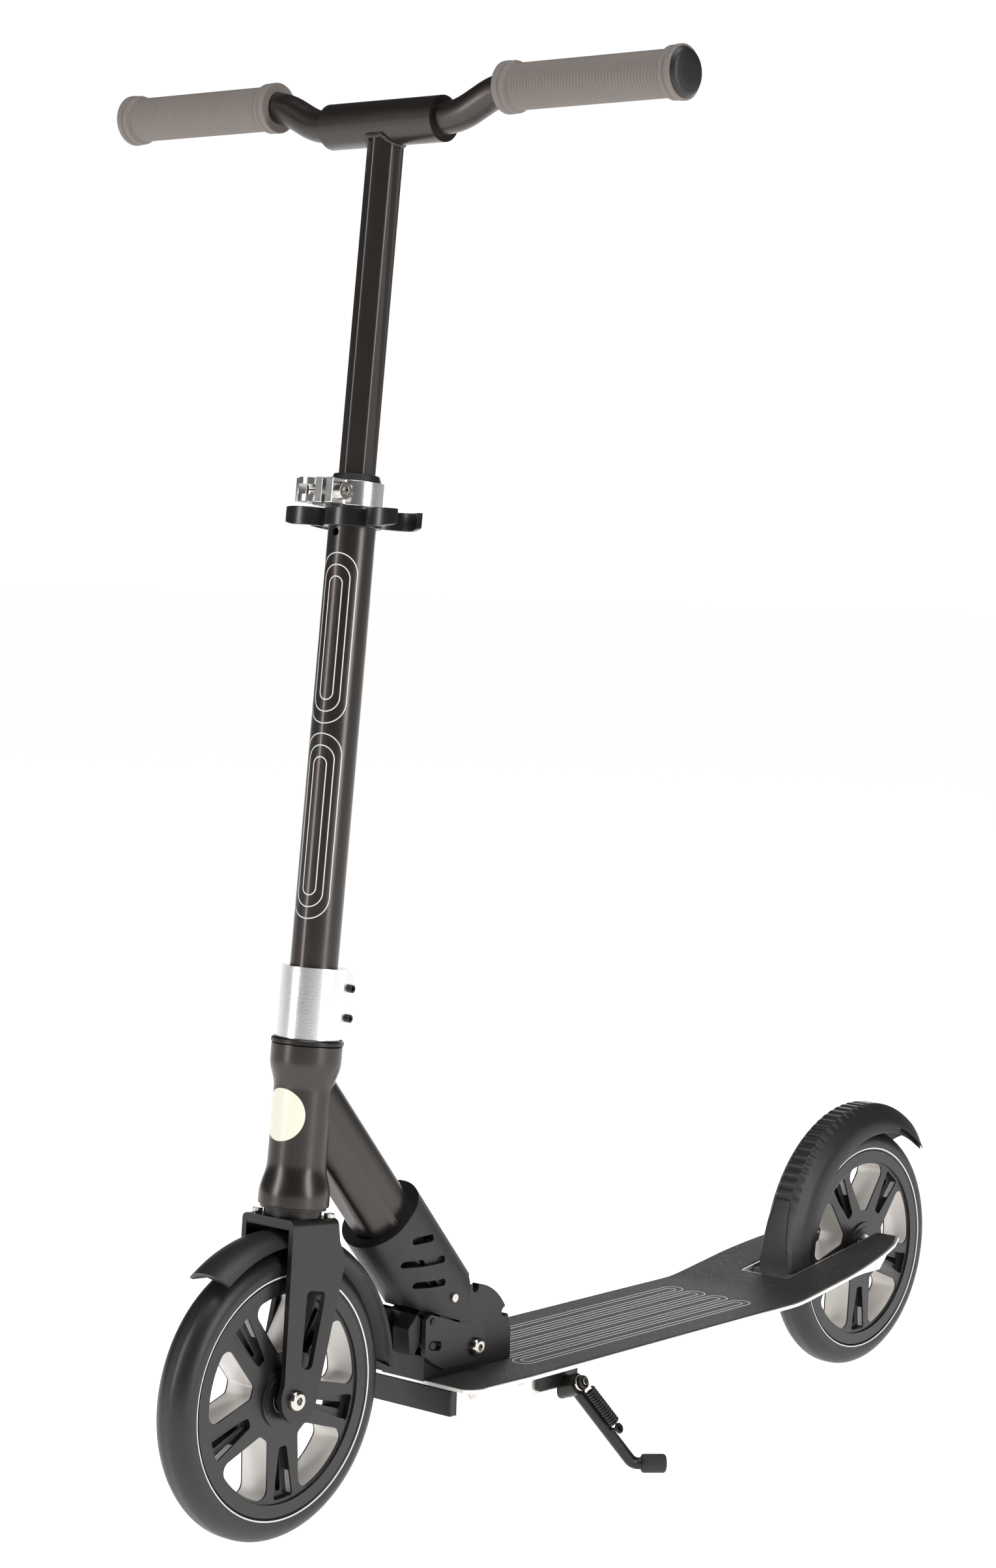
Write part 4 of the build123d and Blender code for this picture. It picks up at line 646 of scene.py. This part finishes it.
surface("brake_fender_look", [end_caps(fender)], fender_black, "brake", ["brake_fender"],
        crease=50)


def prism(outline, low, high):
    """Closed block between two side positions; the outline is a list of (x, z)."""
    flat = np.array(outline, float)
    ring = [np.stack([flat[:, 0], np.full(len(flat), y), flat[:, 1]], axis=-1) for y in (low, high)]
    return end_caps(np.stack(ring))


HINGE = (-244.0, 82.0)
hinge = axes((HINGE[0], 0, HINGE[1]), (1, 0, 0), (0, 1, 0))
knuckles = []
for low, high in ((9.0, 20.0), (-20.0, -9.0)):
    ring = turned([(2.56, low), (5.5, low), (5.5, high), (2.56, high)], 40)
    knuckles.append(placed(ring, hinge))
surface("brake_hinge_knuckles", knuckles, fender_black, "brake", wrap=(True, True), crease=40)
webs = [prism([(HINGE[0] - 6, HINGE[1] + 5.0), (HINGE[0] + 3.6, HINGE[1] + 4.6), (HINGE[0] + 1.4, HINGE[1] + 12),
               (HINGE[0] - 8, HINGE[1] + 12)], low, high) for low, high in ((9.2, 19.4), (-19.4, -9.2))]
surface("brake_hinge_webs", webs, fender_black, "brake", crease=30)

# %% [markdown]
# ## Springs
# A coil spring is a round wire on a helix. The wire's section is carried along (r cos a, r sin a, pitch a),
# with its own axes: one points away from the spring's middle, the other lies across it.

# %% Springs
def helix(local, radius, wire, turns, low, high, per_turn=26):
    """Wire of a coil round the local Z between two heights, closed at its ends."""
    angle = np.linspace(0, 2 * pi * turns, int(per_turn * turns) + 1)
    height = np.linspace(low + wire, high - wire, len(angle))
    out = np.stack([np.cos(angle), np.sin(angle), np.zeros_like(angle)], axis=-1)
    ring = circle(wire, 10)
    middle = out * radius + height[:, None] * np.array([0, 0, 1.0])
    grid = middle[:, None] + ring[None, :, :1] * out[:, None] + ring[None, :, 1:] * np.array([0, 0, 1.0])
    return placed(end_caps(grid), local)


TILT_AXIS = np.array([0, cos(radians(23.3)), sin(radians(23.3))])
stand_pivot = np.array([88.0, 53.0, 68.0])
leg_way = np.array([47.0, 79.3, 7.0]) - stand_pivot
leg_way /= np.linalg.norm(leg_way)
coil_middle = stand_pivot + TILT_AXIS * 11.0
coil = axes(coil_middle, np.cross(TILT_AXIS, leg_way), leg_way)
hooks = []
for along, bore in ((0.0, 2.55), (46.0, 1.6)):
    eye = axes(coil_middle + leg_way * along, leg_way, TILT_AXIS)
    loop = np.stack([bore + 1.3 + circle(1.25, 12)[:, 0], circle(1.25, 12)[:, 1]], axis=-1)
    hooks.append(placed(turned(loop, 32), eye))
surface("kickstand_spring_look", [helix(coil, 3.5, 1.0, 14, 7.0, 41.5)], dark_steel, "kickstand",
        ["kickstand_spring"], crease=60)
surface("kickstand_spring_hooks", hooks, dark_steel, "kickstand", wrap=(True, True), crease=60)
arms = [swept([(HINGE[0], y, HINGE[1] + 3.4), (HINGE[0] + 12, y, HINGE[1] + 4.6),
               (HINGE[0] + 26, y, HINGE[1] + 6.2)],
              circle(0.88, 10), (0, 1, 0)) for y in (7.6, -7.6)]
surface("fender_spring_look", [helix(hinge, 3.4, 0.88, 9, -8.5, 8.5), *arms], steel, "deck_frame",
        ["fender_spring"], crease=60)

# %% [markdown]
# ## Printed lines
# The deck and the post carry a thin light line pattern. Here it is a plain one of nested rounded loops,
# with no lettering. Each loop is a flat ribbon: a closed curve drawn on the developed surface, widened
# by half the line's width to both sides, and lifted a hair above the surface.

# %% Line helpers
LINE = 0.75


def loop(length, width, count=96):
    """Racetrack curve: the points of a circle, pulled apart along its length, and their outward normals."""
    angle = np.linspace(0, 2 * pi, count, endpoint=False) + 0.001
    normal = np.stack([np.cos(angle), np.sin(angle)], axis=-1)
    straight = np.stack([np.sign(normal[:, 0]) * (length - width) / 2, np.zeros(count)], axis=-1)
    return straight + normal * width / 2, normal


def ribbon(centre, curve, normal, lay_on, line=LINE, lift=0.12):
    """Closed thin strip along a curve: its section's four corners are laid on the surface at two heights."""
    offsets = ((-line / 2, -0.05), (line / 2, -0.05), (line / 2, lift), (-line / 2, lift))
    rows = [lay_on(*(np.array(centre) + curve + normal * across).T, height) for across, height in offsets]
    return np.stack(rows, axis=1)


def densify(curve, normal, step):
    """Adds points along the long straights so that the strip follows a curved surface."""
    ahead = np.roll(curve, -1, axis=0)
    pieces = np.maximum(1, np.ceil(np.linalg.norm(ahead - curve, axis=1) / step).astype(int))
    index = np.repeat(np.arange(len(curve)), pieces)
    share = np.concatenate([np.arange(n) / n for n in pieces])[:, None]
    turn = np.roll(normal, -1, axis=0)
    return curve[index] * (1 - share) + ahead[index] * share, normal[index] * (1 - share) + turn[index] * share


def on_post(around, along, height):
    """Lays (around, along) on the lower post, centred on its left front."""
    angle = around / 16.5 + radians(44)
    radius = 16.5 + height
    return placed(np.stack([radius * np.cos(angle), radius * np.sin(angle), along + 0 * around], axis=-1), STEER)


BEND_R, KINK_X, TAIL = 160.0, -188.0, radians(8.2)
BEND_X = KINK_X + BEND_R * np.tan(TAIL / 2)


def on_deck(x, y, height):
    """Lays (x, y) on the grip tape: level, then an arc, then the straight rising tail."""
    top = 88.3 + height
    inside = np.clip(BEND_X - x, 0, BEND_R * sin(TAIL))
    arc = BEND_R - np.sqrt(BEND_R ** 2 - inside ** 2)
    past = np.clip(BEND_X - BEND_R * sin(TAIL) - x, 0, None) * np.tan(TAIL)
    return np.stack([x, y + 0 * x, top + arc + past], axis=-1)


# %% Lines on the post
post_loops = []
for around, centre, length in ((-9, 488, 126), (-9, 616, 116)):
    for width, shorter in ((30, 0), (20, 16), (10, 32)):
        curve, normal = loop(length - shorter, width)
        curve, normal = densify(curve[:, ::-1], normal[:, ::-1], 4.0)
        post_loops.append(ribbon((around, centre), curve, normal, on_post))
surface("post_lines", post_loops, print_grey, "steering", wrap=(True, True), crease=50)

# %% Lines on the deck
deck_loops = []
for y in (33, 11, -11, -33):
    for width, length in ((17, 286), (8, 272)):
        curve, normal = densify(*loop(length, width), 4.0)
        deck_loops.append(ribbon((-14, y), curve, normal, on_deck, line=0.9))
surface("deck_lines", deck_loops, print_grey, "deck_frame", wrap=(True, True), crease=50)

# %% [markdown]
# ## Head badge
# A plain round plate follows the curve of the head tube: a disc drawn in polar form on the developed
# surface, and laid on the tube's waist.

# %% Badge
def on_head(around, along, height):
    """Lays (around, along) on the front of the head tube, which swells above and below its waist."""
    rise = np.clip((along - 308) / 20, 0, 1) + np.clip((258 - along) / 23, 0, 1)
    radius = 20.4 + 4.1 * rise ** 2 * (3 - 2 * rise) + height
    angle = around / 20.4
    return placed(np.stack([radius * np.cos(angle), radius * np.sin(angle), along + 0 * around], axis=-1), STEER)


BADGE_T = 291.0
def disc_on_head(radius, low, high, rows=14, columns=72):
    """Thin round plate in polar form: its top and its underside share one outline."""
    spoke = np.linspace(0, 1, rows)[:, None] * radius
    angle = np.linspace(0, 2 * pi, columns, endpoint=False)[None, :]
    across, along = (spoke * np.cos(angle)).ravel(), BADGE_T + (spoke * np.sin(angle)).ravel()
    faces = [on_head(across, along, height).reshape(rows, columns, 3) for height in (high, low)]
    return np.concatenate([faces[0], faces[1][::-1]])


surface("head_badge", [disc_on_head(18.0, -0.1, 0.5)], badge_cream, "column", crease=50)
# %% [markdown]
# ## Weld beads
# The frame is welded, and a weld is a row of small overlapping ripples. A bead is a thin tube whose
# radius ripples along the joint.

# %% Welds
def bead(path, radius, ripple, count):
    """Tube round a closed path whose radius ripples: r (1 + k |sin|) along its length."""
    steps = len(path)
    along = np.roll(path, -1, axis=0) - np.roll(path, 1, axis=0)
    along /= np.linalg.norm(along, axis=1, keepdims=True)
    out = path - path.mean(axis=0)
    out -= (out * along).sum(axis=1, keepdims=True) * along
    out /= np.linalg.norm(out, axis=1, keepdims=True)
    across = np.cross(along, out)
    size = radius * (1 + ripple * np.abs(np.sin(pi * count * np.arange(steps) / steps)))
    ring = circle(1.0, 10)
    return path[:, None] + size[:, None,
                                None] * (ring[None, :, :1] * out[:, None] + ring[None, :, 1:] * across[:, None])


turn = np.linspace(0, 2 * pi, 360, endpoint=False)
corner_r = 11.6 / np.cos((turn + pi / 6) % (pi / 3) - pi / 6)
hex_path = np.stack([corner_r * np.cos(turn), corner_r * np.sin(turn),
                     970 - np.sqrt(15.75 ** 2 - (corner_r * np.cos(turn)) ** 2)], axis=-1)
surface("sleeve_weld", [bead(placed(hex_path, STEER), 1.7, 0.35, 46)], tube_black, "handlebar",
        wrap=(True, True), crease=60)
